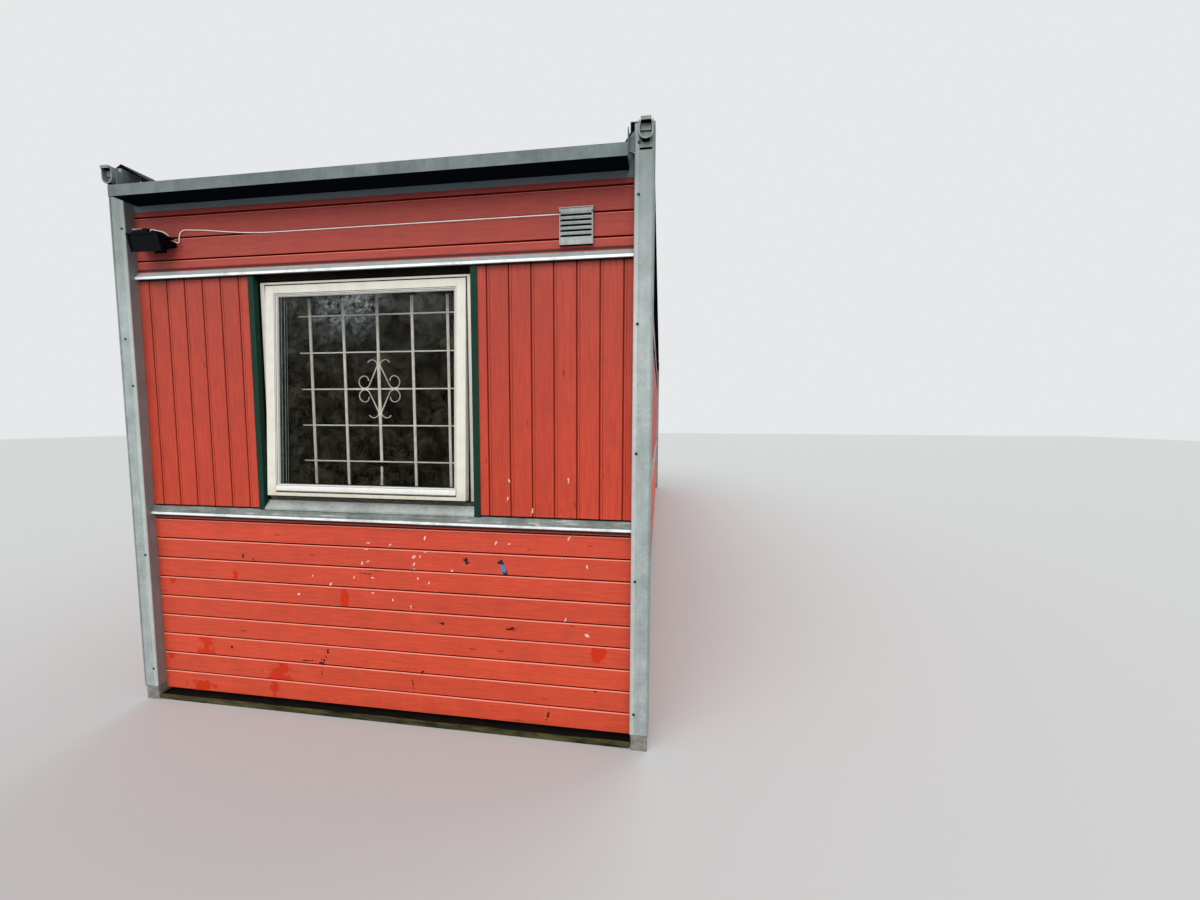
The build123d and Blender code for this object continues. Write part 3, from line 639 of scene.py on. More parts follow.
def zinc_finish(name, light, dark, lip_highlight="", lip_levels=(), stain=0.0, bands=(), under="#5A605E"):
    """Zinc with spangle and bloom, its stains, lips and bands, and painted shade on faces that look down.
    """
    material, tree, surface = new_material(name)
    place = add(tree, "TexCoord").outputs["Object"]
    height = add(tree, "SeparateXYZ", {0: place}).outputs["Z"]
    crystals = add(tree, "TexVoronoi", {"Vector": place, "Scale": 1 / spangle_size}).outputs["Color"]
    crystal = add(tree, "SeparateXYZ", {0: crystals}).outputs["X"]
    cloud = add(tree, "TexNoise", {"Vector": place, "Scale": 9.0, "Detail": 5.0, "Roughness": 0.65})
    cloud = cloud.outputs["Fac"]
    spot = add(tree, "VectorMath", {0: place, 1: (45.0, 45.0, 1.6)}, operation="MULTIPLY").outputs[0]
    runs = add(tree, "TexNoise", {"Vector": spot, "Scale": 1.0, "Detail": 4.0}).outputs["Fac"]

    weather = add(tree, "MapRange", {0: cloud, 1: 0.35, 2: 0.65}).outputs[0]
    colour = add(tree, "Mix", {0: weather, 6: linear(dark), 7: linear(light)}, data_type="RGBA").outputs[2]
    shade = add(tree, "MapRange", {0: crystal, 3: 0.90, 4: 1.08}).outputs[0]
    run = add(tree, "MapRange", {0: runs, 1: 0.3, 2: 0.7, 3: 0.90, 4: 1.06}).outputs[0]
    shade = add(tree, "Math", {0: shade, 1: run}, operation="MULTIPLY").outputs[0]
    colour = add(tree, "VectorMath", {0: colour, 3: shade}, operation="SCALE").outputs[0]

    # Faces that look down get painted shade, in the colour given as under.
    faces_down = add(tree, "SeparateXYZ", {0: add(tree, "NewGeometry").outputs["Normal"]}).outputs["Z"]
    faces_down = add(tree, "MapRange", {0: faces_down, 1: -0.6, 2: -0.9}).outputs[0]
    layers = stains_on_zinc(tree, place, stain) if stain else []
    layers += highlight_on_lips(tree, height, cloud, lip_levels, lip_highlight) + bands_on_zinc(tree, place, bands)
    for share, tint in layers + [(faces_down, under)]:
        colour = add(tree, "Mix", {0: share, 6: colour, 7: linear(tint)}, data_type="RGBA").outputs[2]
    tree.links.new(colour, surface.inputs["Base Color"])

    for key, value in (("Metallic", weathered_metal), ("Specular IOR Level", 0.5)):
        level = add(tree, "MapRange", {0: faces_down, 3: value, 4: 0.0}).outputs[0]
        tree.links.new(level, surface.inputs[key])
    rough = add(tree, "MapRange", {0: crystal, 3: 0.46, 4: 0.64}).outputs[0]
    tree.links.new(rough, surface.inputs["Roughness"])
    bump = add(tree, "Bump", {"Strength": 0.25, "Distance": 0.3 * mm, "Height": cloud})
    tree.links.new(bump.outputs[0], surface.inputs["Normal"])
    return material


print("spangle", round(spangle_size / mm, 1), "mm across")

# %% [markdown]
# The same zinc looks different by place. Posts have a pale strip along the folded inner edge and a
# darker outer margin, with painted shade towards the top and on the side in the recess. Rails have a
# painted highlight along their lips and dark stains, and the eave's sheet is duller. Every face that
# looks down gets painted shade, nearly black under the eave, where no light reaches it.

# %% The zinc of each part
rail_low, rail_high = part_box("front_rail_lower")
upper_low, upper_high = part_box("front_rail_upper")
# The rails' folded lips get a painted highlight between these heights.
lip_start, lip_height = 3 * mm, 15 * mm
lips = [(low.z + lip_start, low.z + lip_height) for low in (rail_low, upper_low)]
# On the posts: the pale inner strip, the darker outer margin, painted shade towards the top and painted
# shade on the side in the recess.
post_bands = [("X", post_inner, post_inner + 21 * mm, 0.8 * mm, 0.35, "#D9DDD8"),
              ("X", half_width - 11 * mm, half_width + mm, 1.5 * mm, 0.35, "#5E6664"),
              ("Z", 2.45, 3.1, 0.35, 0.6, "#56605F"),
              ("X", post_inner - mm, post_inner + 0.3 * mm, 0.3 * mm, 0.45, "#3B3437")]
rail_bands = [("Z", upper_low.z + lip_height, upper_high.z, mm, 0.45, "#C9D2D2")]
sheet_bands = [("Y", 0.0, half_length - 20 * mm, 2 * mm, 0.8, "#5E6A70")]
zinc_post = zinc_finish("weathered_zinc_on_posts", "#B4BDBA", "#9CA6A3", bands=post_bands)
# The hooks' zinc is darker, partly from rust and dirt and partly as painted shade, near black on faces that
# look down.
zinc_hook = zinc_finish("weathered_zinc_on_hooks", "#969E9C", "#6B7371", under="#0A0C0E")
zinc_rail = zinc_finish("weathered_zinc_on_rails", "#7E857F", "#646A65", "#FFFFFF", lips, stain=0.7,
                        bands=rail_bands)
zinc_sheet = zinc_finish("weathered_zinc_sheet", "#727D7D", "#5A6565", bands=sheet_bands, under="#0A1018")
zinc_side = zinc_finish("weathered_zinc_on_long_edges", "#808A89", "#6E7877", under="#14171E")
zinc_vent = zinc_finish("weathered_zinc_vent", "#ABB1AE", "#939995", under="#15181A")
zinc_sill = zinc_finish("streaked_zinc_flashing", "#B4BAB6", "#979D99", stain=0.4)
print("zinc finishes", len([m for m in bpy.data.materials if "zinc" in m.name]))

# %% Zinc on the construction


def dress(material, *nodes):
    """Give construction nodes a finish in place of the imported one."""
    for name in nodes:
        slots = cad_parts[name].data.materials
        slots.clear()
        slots.append(material)
    print(material.name, "on", ", ".join(nodes))


post_names = ("front_left", "front_right", "back_left", "back_right")
dress(zinc_post, *["corner_post_" + post for post in post_names])
dress(zinc_hook, *["lifting_hook_" + post for post in post_names])
dress(zinc_sheet, "front_fascia", "back_fascia")
dress(zinc_side, "side_fascias")
dress(zinc_vent, "vent")
dress(zinc_rail, "front_rail_lower", "front_rail_upper", "back_rails", "side_rails")
dress(zinc_sill, "window_sill_flashing")

# %% [markdown]
# ## Paints on joinery
# The window is planed timber in white gloss gone chalky, a little yellow with dirt in its corners; the
# trims beside it are dark green. Painted joinery shares one recipe: a base colour, slow drifts in it,
# fine grain telegraphing through and grime that gathers low down.

# %% Material: painted joinery


def joinery_finish(name, clean, soiled, soiling, grime_low, grime_high, roughness, sheen=0.4):
    """Paint on planed timber, soiled in drifts and more so from one height down to a lower one."""
    material, tree, surface = new_material(name, Roughness=roughness)
    surface.inputs["Specular IOR Level"].default_value = sheen
    place = add(tree, "TexCoord").outputs["Object"]
    height = add(tree, "SeparateXYZ", {0: place}).outputs["Z"]
    drift = add(tree, "TexNoise", {"Vector": place, "Scale": 14.0, "Detail": 6.0, "Roughness": 0.7})
    drift = drift.outputs["Fac"]
    fleck_place = add(tree, "VectorMath", {0: place, 1: (60.0, 60.0, 9.0)}, operation="MULTIPLY").outputs[0]
    fleck = add(tree, "TexNoise", {"Vector": fleck_place, "Scale": 1.0, "Detail": 4.0}).outputs["Fac"]
    low = add(tree, "MapRange", {0: height, 1: grime_high, 2: grime_low, 3: 0.0, 4: 1.0}).outputs[0]
    dirt = add(tree, "MapRange", {0: drift, 1: 0.42, 2: 0.72, 3: 0.0, 4: soiling}).outputs[0]
    low_dirt = add(tree, "Math", {0: low, 1: fleck}, operation="MULTIPLY").outputs[0]
    dirt = add(tree, "Math", {0: dirt, 1: low_dirt}, operation="ADD", use_clamp=True).outputs[0]
    colour = add(tree, "Mix", {0: dirt, 6: linear(clean), 7: linear(soiled)}, data_type="RGBA").outputs[2]
    shade = add(tree, "MapRange", {0: fleck, 1: 0.3, 2: 0.7, 3: 0.965, 4: 1.02}).outputs[0]
    colour = add(tree, "VectorMath", {0: colour, 3: shade}, operation="SCALE").outputs[0]
    tree.links.new(colour, surface.inputs["Base Color"])
    bump = add(tree, "Bump", {"Strength": 0.3, "Distance": 0.3 * mm, "Height": fleck})
    tree.links.new(bump.outputs[0], surface.inputs["Normal"])
    return material


print("soiled paint for planed joinery")

# %% Material: surfaces of two colours


def mottled_finish(name, light, dark, scale, roughness, metallic=0.0, stretch=(1, 1, 1), relief=0.3,
                   specular=0.5):
    """Two colours of one surface in a noise of a given real scale, with the same noise as relief."""
    material, tree, surface = new_material(name, Roughness=roughness, Metallic=metallic)
    surface.inputs["Specular IOR Level"].default_value = specular
    place = add(tree, "TexCoord").outputs["Object"]
    place = add(tree, "VectorMath", {0: place, 1: stretch}, operation="MULTIPLY").outputs[0]
    noise = add(tree, "TexNoise", {"Vector": place, "Scale": scale, "Detail": 6.0, "Roughness": 0.6})
    noise = noise.outputs["Fac"]
    share = add(tree, "MapRange", {0: noise, 1: 0.35, 2: 0.65}).outputs[0]
    colour = add(tree, "Mix", {0: share, 6: linear(dark), 7: linear(light)}, data_type="RGBA").outputs[2]
    tree.links.new(colour, surface.inputs["Base Color"])
    bump = add(tree, "Bump", {"Strength": relief, "Distance": 1.0 * mm, "Height": noise})
    tree.links.new(bump.outputs[0], surface.inputs["Normal"])
    return material


print("a short recipe for the plainer surfaces")

# %% Paints, dirt and painted shade on the joinery
frame_low, frame_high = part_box("window_frame")
sash_box_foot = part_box("window_sash")[0].z
white_joinery = joinery_finish("chalky_white_gloss_on_pine", "#E9E5D8", "#BBA985", 0.25,
                               sash_box_foot - 20 * mm, sash_box_foot + 70 * mm, 0.42)
white_bead = joinery_finish("white_coated_aluminium_bead", "#EFEEE9", "#B9B4A6", 0.2, 0.0, 0.1, 0.45, 0.2)
# The groove in the beads gets painted shade.
bead_shadow = mottled_finish("painted_shade_in_the_bead_groove", "#8F8B80", "#6B675E", 60.0, 0.7, specular=0.1)
# The frame's foot is dark grey: painted shade under the ajar sash.
shaded_frame_foot = mottled_finish("painted_shade_on_the_frame_foot", "#57534B", "#2E2B27", 30.0, 0.8,
                                stretch=(1, 1, 6), specular=0.2)
# Painted shade for the stop and the rebate, deep in the window.
shade_in_the_window = mottled_finish("painted_shade_in_the_window", "#242A28", "#171B1A", 8.0, 0.7,
                             stretch=(8, 1, 1), specular=0.15)
# The pane's spacer bar, and painted reflections of it in the glass.
spacer_and_reflections = mottled_finish("spacer_bar_and_painted_reflections", "#7F8B86", "#59635F", 50.0, 0.5, specular=0.3)
# Black for the seal round the sash, a gasket whose dark line is also painted shade, and for the painted
# shade behind the vent's slots.
seal_and_painted_shade = mottled_finish("black_seal_and_painted_shade", "#0E0E0D", "#060606", 40.0, 0.8, specular=0.1)
green_trim = joinery_finish("dark_green_paint_on_battens", "#10382B", "#0B231B", 0.5,
                            rail_high.z, rail_high.z + 50 * mm, 0.6, 0.15)
door_paint = joinery_finish("off_white_door_paint", "#D8D6CC", "#A59F8E", 0.3,
                            floor_top, floor_top + 300 * mm, 0.4)
dress(white_joinery, "door_frame")
dress(green_trim, "window_trims", "door_trims")
dress(door_paint, "door_leaf")

# %% [markdown]
# ## Window joinery
# The fixed frame and the sash are made as a joiner makes them: uprights that run full height, rails
# between them, every arris eased, and a mitred glazing bead that holds the pane. The hairline joints and
# the gap round the sash are what make a window read as timber, so each member is its own bevelled bar.

# %% Fixed frame
frame_face = frame_low.y + half_length
frame_back = frame_high.y + half_length
frame_side, frame_head, frame_foot = 28 * mm, 16 * mm, 47 * mm
sash_proud, sash_depth = 3 * mm, 58 * mm
fit = 3 * mm
eased = 2.2 * mm
sash_face = frame_face - sash_proud
sash_back = sash_face + sash_depth
seal_depth = sash_back + fit
left_edge, right_edge = frame_low.x + frame_side, frame_high.x - frame_side
foot_edge, head_edge = frame_low.z + frame_foot, frame_high.z - frame_head

shape = begin()
for low, high, lies, seed in (((frame_low.x, foot_edge), (left_edge, frame_high.z), "z", 1),
                              ((right_edge, foot_edge), (frame_high.x, frame_high.z), "z", 2),
                              ((left_edge, head_edge), (right_edge, frame_high.z), "u", 3)):
    bar(shape, "front", (low[0], frame_face, low[1]), (high[0], seal_depth, high[1]), eased, lies, seed)
finish_piece("window_frame_joinery", shape, white_joinery, ["window_frame"])

shape = begin()
bar(shape, "front", (frame_low.x, frame_face, frame_low.z), (frame_high.x, frame_back, foot_edge), eased,
    "u", 4)
finish_piece("window_frame_foot", shape, shaded_frame_foot)

# %% Stop and rubber seal, both in painted shade
stop = 20 * mm
clear = (left_edge, right_edge, foot_edge, head_edge)
rim = (frame_low.x, frame_high.x, foot_edge, frame_high.z)
shape = begin()
ring(shape, "front", [inset(clear, 0, seal_depth), inset(clear, -stop, seal_depth),
                      inset(clear, -stop, frame_back), rim + (frame_back,), rim + (seal_depth,)], 5)
finish_piece("window_stop", shape, shade_in_the_window)

# The seal is a black strip beside the sash: a gasket, and painted shade of the gap round the sash.
seal, seal_proud, seal_thick = 4.5 * mm, 0.4 * mm, 6 * mm
shape = begin()
for low, high in (((left_edge - 1.5 * mm, foot_edge), (left_edge + 1.2 * mm, head_edge + seal)),
                  ((right_edge - mm, foot_edge), (right_edge + 2 * mm, head_edge + seal)),
                  ((left_edge, head_edge - mm), (right_edge, head_edge + seal))):
    bar(shape, "front", (low[0], frame_face - seal_proud, low[1]),
        (high[0], frame_face + seal_thick, high[1]), 0, "z", 14)
finish_piece("window_seal", shape, seal_and_painted_shade)

# %% [markdown]
# The sash hangs from pins near its top and stands ajar: its foot is 48 mm out, so its left side is
# seen to widen downwards. It is drawn shut, on a wall frame of its own that is turned about the top edge.

# %% Sash
ajar = 48 * mm
glass_set_back, pane_thickness = 16 * mm, 24 * mm
sash = (left_edge + fit, right_edge - fit, foot_edge + fit, head_edge - fit)
swing = -math.asin(ajar / (sash[3] - sash[2]))
hinge = Vector((0, sash_back, sash[3]))
walls["sash"] = (walls["front"] @ Matrix.Translation(hinge) @ Matrix.Rotation(swing, 4, "X")
                 @ Matrix.Translation(-hinge))
glass_face = sash_face + glass_set_back
glass_back = glass_face + pane_thickness
stile, head_rail = 67 * mm, 58 * mm
opening = (sash[0] + stile, sash[1] - stile, sash[2] + stile, sash[3] - head_rail)
bead, bead_foot, bead_gap = 16 * mm, 40 * mm, 2.6 * mm
foot_gap, shadow_gap, sash_clear = 5.5 * mm, 1.2 * mm, 4 * mm
sash_left, sash_right = sash[0] + shadow_gap, sash[1] - shadow_gap
sash_foot, sash_head = sash[2] + sash_clear, sash[3] - shadow_gap
stile_left, stile_right = opening[0] - bead, opening[1] + bead
rail_head, rail_foot = opening[3] + bead, opening[2] - bead_foot

shape = begin()
for low, high, lies, seed in (((sash_left, sash_foot), (stile_left, sash_head), "z", 6),
                              ((stile_right, sash_foot), (sash_right, sash_head), "z", 7),
                              ((stile_left, rail_head), (stile_right, sash_head), "u", 8),
                              ((stile_left, sash_foot), (stile_right, rail_foot - foot_gap), "u", 9)):
    bar(shape, "sash", (low[0], sash_face, low[1]), (high[0], glass_back, high[1]), eased, lies, seed)
finish_piece("window_sash_joinery", shape, white_joinery, ["window_sash"])

# %% Rebate behind the beads, in painted shade
hairline = 0.4 * mm
rebate_face = sash_face + 9 * mm
outer = (sash_left, sash_right, sash[2], sash_head)
shape = begin()
ring(shape, "sash", [inset(opening, 0, glass_back), inset(opening, 0, sash_back), outer + (sash_back,),
                     outer + (glass_back,)], 11)
ring(shape, "sash", [inset(opening, bead - hairline, rebate_face),
                     inset(opening, hairline, rebate_face + 5 * mm),
                     inset(opening, hairline, glass_face - hairline),
                     inset(opening, bead - hairline, glass_face - hairline)], 12)
# A dark strip under the drip rail: painted shade in the gap.
bar(shape, "sash", (stile_left, rebate_face, rail_foot - foot_gap - mm),
    (stile_right, glass_back, rail_foot + 8 * mm), 0, "u", 15)
finish_piece("window_sash_rebate", shape, shade_in_the_window)

# %% [markdown]
# The beads are thin coated aluminium. Three sides are mitred; the lower one is a deeper drip rail whose
# round nose throws rain off the sash. Its section is given from its foot upwards.

# %% Glazing beads and drip rail
bead_face = sash_face + 1.5 * mm
bead_slope = 1.4 * mm
bead_left, bead_right = stile_left + bead_gap, stile_right - bead_gap
outside = (bead_left, bead_right, opening[2], rail_head - bead_gap)
edge = (bead_left + bead_slope, bead_right - bead_slope, opening[2], outside[3] - bead_slope)
# The drip rail's section in mm: height above its foot, and depth behind the sash's face.
drip_section = [(0, 12), (0, 3), (1.5, 1), (9, -1), (20, -1.2), (27, 0.2), (31, 2.2), (33.5, 3), (36, 3.5),
                (40, 6.5), (40, 15.5)]
shape = begin()
ring(shape, "sash", [outside + (bead_face + 2 * mm,), edge + (bead_face,),
                     inset(opening, 3 * mm, bead_face + 4 * mm),
                     inset(opening, 0.0, glass_face - 0.5 * mm), outside + (glass_face - 0.3 * mm,)], 10)
for first, second in zip(drip_section, drip_section[1:]):
    verts = [shape.verts.new(walls["sash"] @ Vector((u, sash_face + d * mm, rail_foot + up * mm)))
             for up, d in (first, second) for u in (bead_left, bead_right)]
    shape.faces.new((verts[0], verts[1], verts[3], verts[2]))
finish_piece("glazing_beads", shape, white_bead)

# %% Painted shade in the bead grooves, and the pane's spacer with its painted reflections
groove_out, groove_in, groove_back = 9 * mm, 6.5 * mm, bead_face + 6 * mm
shape = begin()
ring(shape, "sash", [inset(opening, groove_out, bead_face + 0.6 * mm),
                     inset(opening, groove_in, bead_face + 1.4 * mm),
                     inset(opening, groove_in, groove_back), inset(opening, groove_out, groove_back)], 16)
# A dark strip along the drip rail's foot: painted shade.
bar(shape, "sash", (bead_left, sash_face - 0.7 * mm, rail_foot),
    (bead_right, sash_face + 8 * mm, rail_foot + 5 * mm), 0, "u", 17)
finish_piece("bead_grooves", shape, bead_shadow)

shape = begin()
# Three fine lines beside the left bead, the spacer bar and its painted reflections: how far in they stand,
# their width and their depth in the pane.
spacer_lines = ((9 * mm, 5 * mm, 3 * mm), (22 * mm, 4 * mm, 10 * mm), (30 * mm, 2.5 * mm, 17 * mm))
for inward, width, d in spacer_lines:
    bar(shape, "sash", (opening[0] + inward, glass_face + d, opening[2]),
        (opening[0] + inward + width, glass_face + d + mm, opening[3]), 0, "z", 13)
finish_piece("glass_spacer_lines", shape, spacer_and_reflections)

# %% [markdown]
# ## Glass
# A sealed pane in front of an unlit room looks dark. The pane keeps its real thickness. Its surface is
# mostly clear; a thin greasy smear tints it unevenly, and a grey painted reflection of the sky, stronger
# high up, in the middle and in patches, lies over it.

# %% Material: window glass with a painted reflection
window_glass, tree, surface = new_material("window_glass_with_painted_reflection", Roughness=0.06)
surface.inputs["Specular IOR Level"].default_value = 0.35
place = add(tree, "TexCoord").outputs["Object"]
x_y_z = add(tree, "SeparateXYZ", {0: place})
# The painted reflection begins at one height and is strongest at another. It is strong near its
# middle, and ends at its reach to either side.
reflection_from, reflection_to = 1.84, 2.20
reflection_middle, reflection_reach, reflection_core = -0.12, 0.62, 0.10

reflection_noise = add(tree, "TexNoise", {"Vector": place, "Scale": 22.0, "Detail": 9.0, "Roughness": 0.8})
reflection_patches = add(tree, "TexNoise", {"Vector": place, "Scale": 3.2, "Detail": 2.0})
up = add(tree, "MapRange", {0: x_y_z.outputs["Z"], 1: reflection_from, 2: reflection_to}).outputs[0]
aside = add(tree, "Math", {0: x_y_z.outputs["X"], 1: reflection_middle}, operation="SUBTRACT").outputs[0]
aside = add(tree, "Math", {0: aside}, operation="ABSOLUTE").outputs[0]
middle = add(tree, "MapRange", {0: aside, 1: reflection_reach, 2: reflection_core}).outputs[0]
reflection_share = add(tree, "MapRange", {0: reflection_noise.outputs["Fac"], 1: 0.42, 2: 0.60}).outputs[0]
patchy = add(tree, "MapRange", {0: reflection_patches.outputs["Fac"], 1: 0.25, 2: 0.55}).outputs[0]
for part in (up, middle, patchy):
    reflection_share = add(tree, "Math", {0: reflection_share, 1: part}, operation="MULTIPLY").outputs[0]

smears = add(tree, "TexNoise", {"Vector": place, "Scale": 13.0, "Detail": 8.0, "Roughness": 0.8})
greasy = add(tree, "MapRange", {0: smears.outputs["Fac"], 1: 0.46, 2: 0.66}).outputs[0]
colour = linear("#1E1A0E")
# The grey tint is the painted reflection.
for share, tint in ((greasy, "#57503A"), (reflection_share, "#8F979A")):
    colour = add(tree, "Mix", {0: share, 6: colour, 7: linear(tint)}, data_type="RGBA").outputs[2]
tree.links.new(colour, surface.inputs["Base Color"])
thin_cover = add(tree, "MapRange", {0: greasy, 3: 0.10, 4: 0.32}).outputs[0]
reflection_cover = add(tree, "MapRange", {0: reflection_share, 3: 0.0, 4: 0.85}).outputs[0]
cover = add(tree, "Math", {0: reflection_cover, 1: thin_cover}, operation="MAXIMUM").outputs[0]
tree.links.new(cover, surface.inputs["Alpha"])
dress(window_glass, "window_glass")

# %% [markdown]
# ## The grille and its broken bar
# Slim bars in white enamel stand in the opening behind the glass. The lower end of the middle upright
# has broken off: a bent stub with flaking paint still stands in the opening under it. The grille's own
# shape is already modelled, only sturdier than the real one looks, so a copy of it is drawn in.

# %% Material: white enamel
enamel, tree, surface = new_material("aged_white_enamel", Roughness=0.38)
place = add(tree, "TexCoord").outputs["Object"]
age = add(tree, "TexNoise", {"Vector": place, "Scale": 30.0, "Detail": 5.0}).outputs["Fac"]
age = add(tree, "MapRange", {0: age, 1: 0.5, 2: 0.75, 3: 0.0, 4: 0.6}).outputs[0]
colour = add(tree, "Mix", {0: age, 6: linear("#FBF7E6"), 7: linear("#DDD4B8")}, data_type="RGBA").outputs[2]
tree.links.new(colour, surface.inputs["Base Color"])
print(enamel.name)

# %% Grille bars
grille_slimmer = 2.4 * mm


def slim_copy(node_name, piece_name, by, axes, material):
    """A piece with the node's own shape, its surface drawn in along the given axes."""
    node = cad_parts[node_name]
    shape = bmesh.new()
    shape.from_mesh(node.data)
    shape.transform(node.matrix_world)
    bmesh.ops.remove_doubles(shape, verts=shape.verts, dist=0.05 * mm)
    shape.normal_update()
    outwards = [(vert, vert.normal * Vector(axes)) for vert in shape.verts]
    for vert, outward in outwards:
        if outward.length > 0.2:
            vert.co -= outward.normalized() * by
    finish_piece(piece_name, shape, material, [node_name])


slim_copy("window_grille", "grille_bars", grille_slimmer, (1, 0, 1), enamel)

# %% Broken stub
grille_low, grille_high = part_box("window_grille")
stub_foot = Vector(((grille_low.x + grille_high.x) / 2 - 12 * mm,
                    (grille_low.y + grille_high.y) / 2 + half_length, grille_low.z))
stub_height, stub_lean, stub_steps, stub_sides = 205 * mm, 10 * mm, 14, 8
shape = begin()
loops = []
for step in range(stub_steps + 1):
    share = step / stub_steps
    radius = (8.5 - 1.5 * share + 1.3 * math.sin(step * 2.1)) * mm
    middle_u = stub_foot.x + stub_lean * math.sin(share * 1.7)
    loop = []
    for side in range(stub_sides):
        angle = side * math.tau / stub_sides + share * 5
        spot = (middle_u + radius * math.cos(angle), stub_foot.y + 0.45 * radius * math.sin(angle),
                stub_foot.z + stub_height * share)
        loop.append(shape.verts.new(walls["front"] @ Vector(spot)))
    loops.append(loop)
skin(shape, loops)
finish_piece("grille_stub", shape, enamel)

# %% [markdown]
# ## The other finishes
# Timber underneath is wet and green with algae, the roofing is bitumen sheet with mineral grit, the
# lamp is powder-coated black and its lead is white plastic. Inside, the walls are dark building paper
# and the floor plain boarding. All take the short recipe of two colours, each with its own scale.

# %% Plain recipes
algae_timber = mottled_finish("damp_timber_with_algae", "#56522F", "#191710", 7.0, 0.85,
                              stretch=(1, 1, 6), specular=0.2)
# Near black for the tops of the base planks: painted shade under the boards.
shade_on_plank_tops = mottled_finish("painted_shade_on_plank_tops", "#15110D", "#070605", 12.0, 0.8, specular=0.1)
bitumen = mottled_finish("gritted_bitumen_sheet", "#2A2D30", "#15171A", 160.0, 0.8,
                         relief=0.6, specular=0.2)
building_paper = mottled_finish("dark_building_paper", "#1D1810", "#100D08", 5.0, 0.9,
                                relief=0.0, specular=0.05)
plain_boarding = mottled_finish("worn_floor_boarding", "#5A4630", "#3C2E20", 12.0, 0.6,
                                stretch=(8, 1, 1), relief=0.0)
black_coat = mottled_finish("black_powder_coat", "#070C14", "#030407", 220.0, 0.6, specular=0.06)
# A grey painted glint for the lamp cap's upper edge.
glint_on_black = mottled_finish("painted_glint_on_black_coat", "#A8A0A0", "#4A4A50", 60.0, 0.4)
white_sheath = mottled_finish("white_pvc_sheath", "#FAF5EC", "#E9E2D6", 25.0, 0.4)
foot_steel = mottled_finish("dirty_foot_casting", "#9A9890", "#76746C", 40.0, 0.7, metallic=0.3)
lever_steel = mottled_finish("satin_steel", "#A9AAA6", "#959690", 90.0, 0.35, metallic=1.0)
screw_steel = mottled_finish("dark_screw_heads", "#2E3234", "#15181A", 300.0, 0.45, metallic=0.3)
nail_paint = mottled_finish("painted_nail_heads", "#7C2F26", "#5C221C", 300.0, 0.6)
print("finishes so far", len(bpy.data.materials))

# %% Plain finishes on the construction
dress(algae_timber, "ground_bearers")
dress(bitumen, "roof_membrane", "roof_flaps")
dress(building_paper, "front_wall", "back_wall", "left_wall", "right_wall", "roof_slab")
dress(plain_boarding, "floor_slab")
dress(black_coat, "floodlight", "floodlight_bracket")
dress(foot_steel, "post_feet")
dress(lever_steel, "door_handle")

# %% [markdown]
# The lamp's lead is a thin white cable that runs along the wall. Its route is modelled already, and as
# with the grille a slimmer copy of it is shown.

# %% Lamp lead
lead_slimmer = 1.1 * mm
slim_copy("lamp_cable", "lamp_lead", lead_slimmer, (1, 1, 1), white_sheath)

# %% [markdown]
# ## Vent
# A pressed zinc box: its rim is turned up, and five louvres are pushed out of the plate, each a small
# sloping hood over a slot. From below the slots look black and the hoods catch the light, so the plate
# is made as strips between real slots, with a black sheet behind them as painted shade.

# %% Vent rim
vent_low, vent_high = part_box("vent")
vent_face = vent_low.y + half_length + 6 * mm
vent_rim = 6 * mm
rim_top = vent_face - 2.5 * mm
plate = (vent_low.x, vent_high.x, vent_low.z, vent_high.z)
shape = begin()
ring(shape, "front", [plate + (board_face,), plate + (vent_face - mm,), inset(plate, -mm, rim_top),
                      inset(plate, -vent_rim + mm, rim_top), inset(plate, -vent_rim, vent_face),
                      inset(plate, -vent_rim, board_face)], 20)
print("vent", round((plate[1] - plate[0]) / mm), "mm wide")

# %% Vent louvres
slot_first, slot_pitch, slot_count, slot_height = 37 * mm, 23.5 * mm, 5, 8.5 * mm
hood_section = [(0.0, 15.5), (-6.0, 5.5), (-6.0, 4.0), (0.0, 10.0)]
hood_clear = 4 * mm
inner_left, inner_right, inner_foot, inner_head = inset(plate, -vent_rim, 0)[:4]
slot_levels = [vent_high.z - slot_first - slot_pitch * i for i in range(slot_count)]
slot_edges = [z + side * slot_height / 2 for z in slot_levels for side in (1, -1)]
edges = [inner_head] + slot_edges + [inner_foot]
for top, foot in zip(edges[::2], edges[1::2]):
    bar(shape, "front", (inner_left, vent_face, foot), (inner_right, vent_face + 2 * mm, top), 0, "u", 21)
for level in slot_levels:
    skin(shape, [[shape.verts.new(walls["front"] @ Vector((u, vent_face + d * mm, level + up * mm)))
                  for d, up in hood_section] for u in (inner_left + hood_clear, inner_right - hood_clear)])
finish_piece("vent_louvres", shape, zinc_vent, ["vent"])

# A black sheet behind the slots: painted shade.
shape = begin()
bar(shape, "front", (inner_left, vent_face + 4 * mm, inner_foot),
    (inner_right, vent_face + 5 * mm, inner_head), 0, "u", 22)
finish_piece("vent_painted_shade", shape, seal_and_painted_shade)

# %% [markdown]
# ## Lamp cap and base plank
# A flat cap sits on the lamp's housing, with a painted glint in grey along its upper edge. Below the
# boards a mossy plank lies along each end bearer; it shows as a green-black band over the ground, the
# black being painted shade on its top. Each plank is made in short lengths of slightly different
# height, so that its edge isn't ruler-straight.

# %% Lamp cap
lamp_middle = (lamp_low.x + lamp_high.x) / 2
cap_face = lamp_low.y + half_length + 14 * mm
cap_left, cap_right = lamp_middle - 80 * mm, lamp_middle + 18 * mm
cap_foot, cap_top = lamp_high.z + 2 * mm, lamp_high.z + 25 * mm
cap_depth, cap_round, plug_round, wear_round = 46 * mm, 7 * mm, 3 * mm, 2 * mm
shape = begin()
bar(shape, "front", (cap_left, cap_face, cap_foot), (cap_right, cap_face + cap_depth, cap_top), cap_round,
    "u", 30)
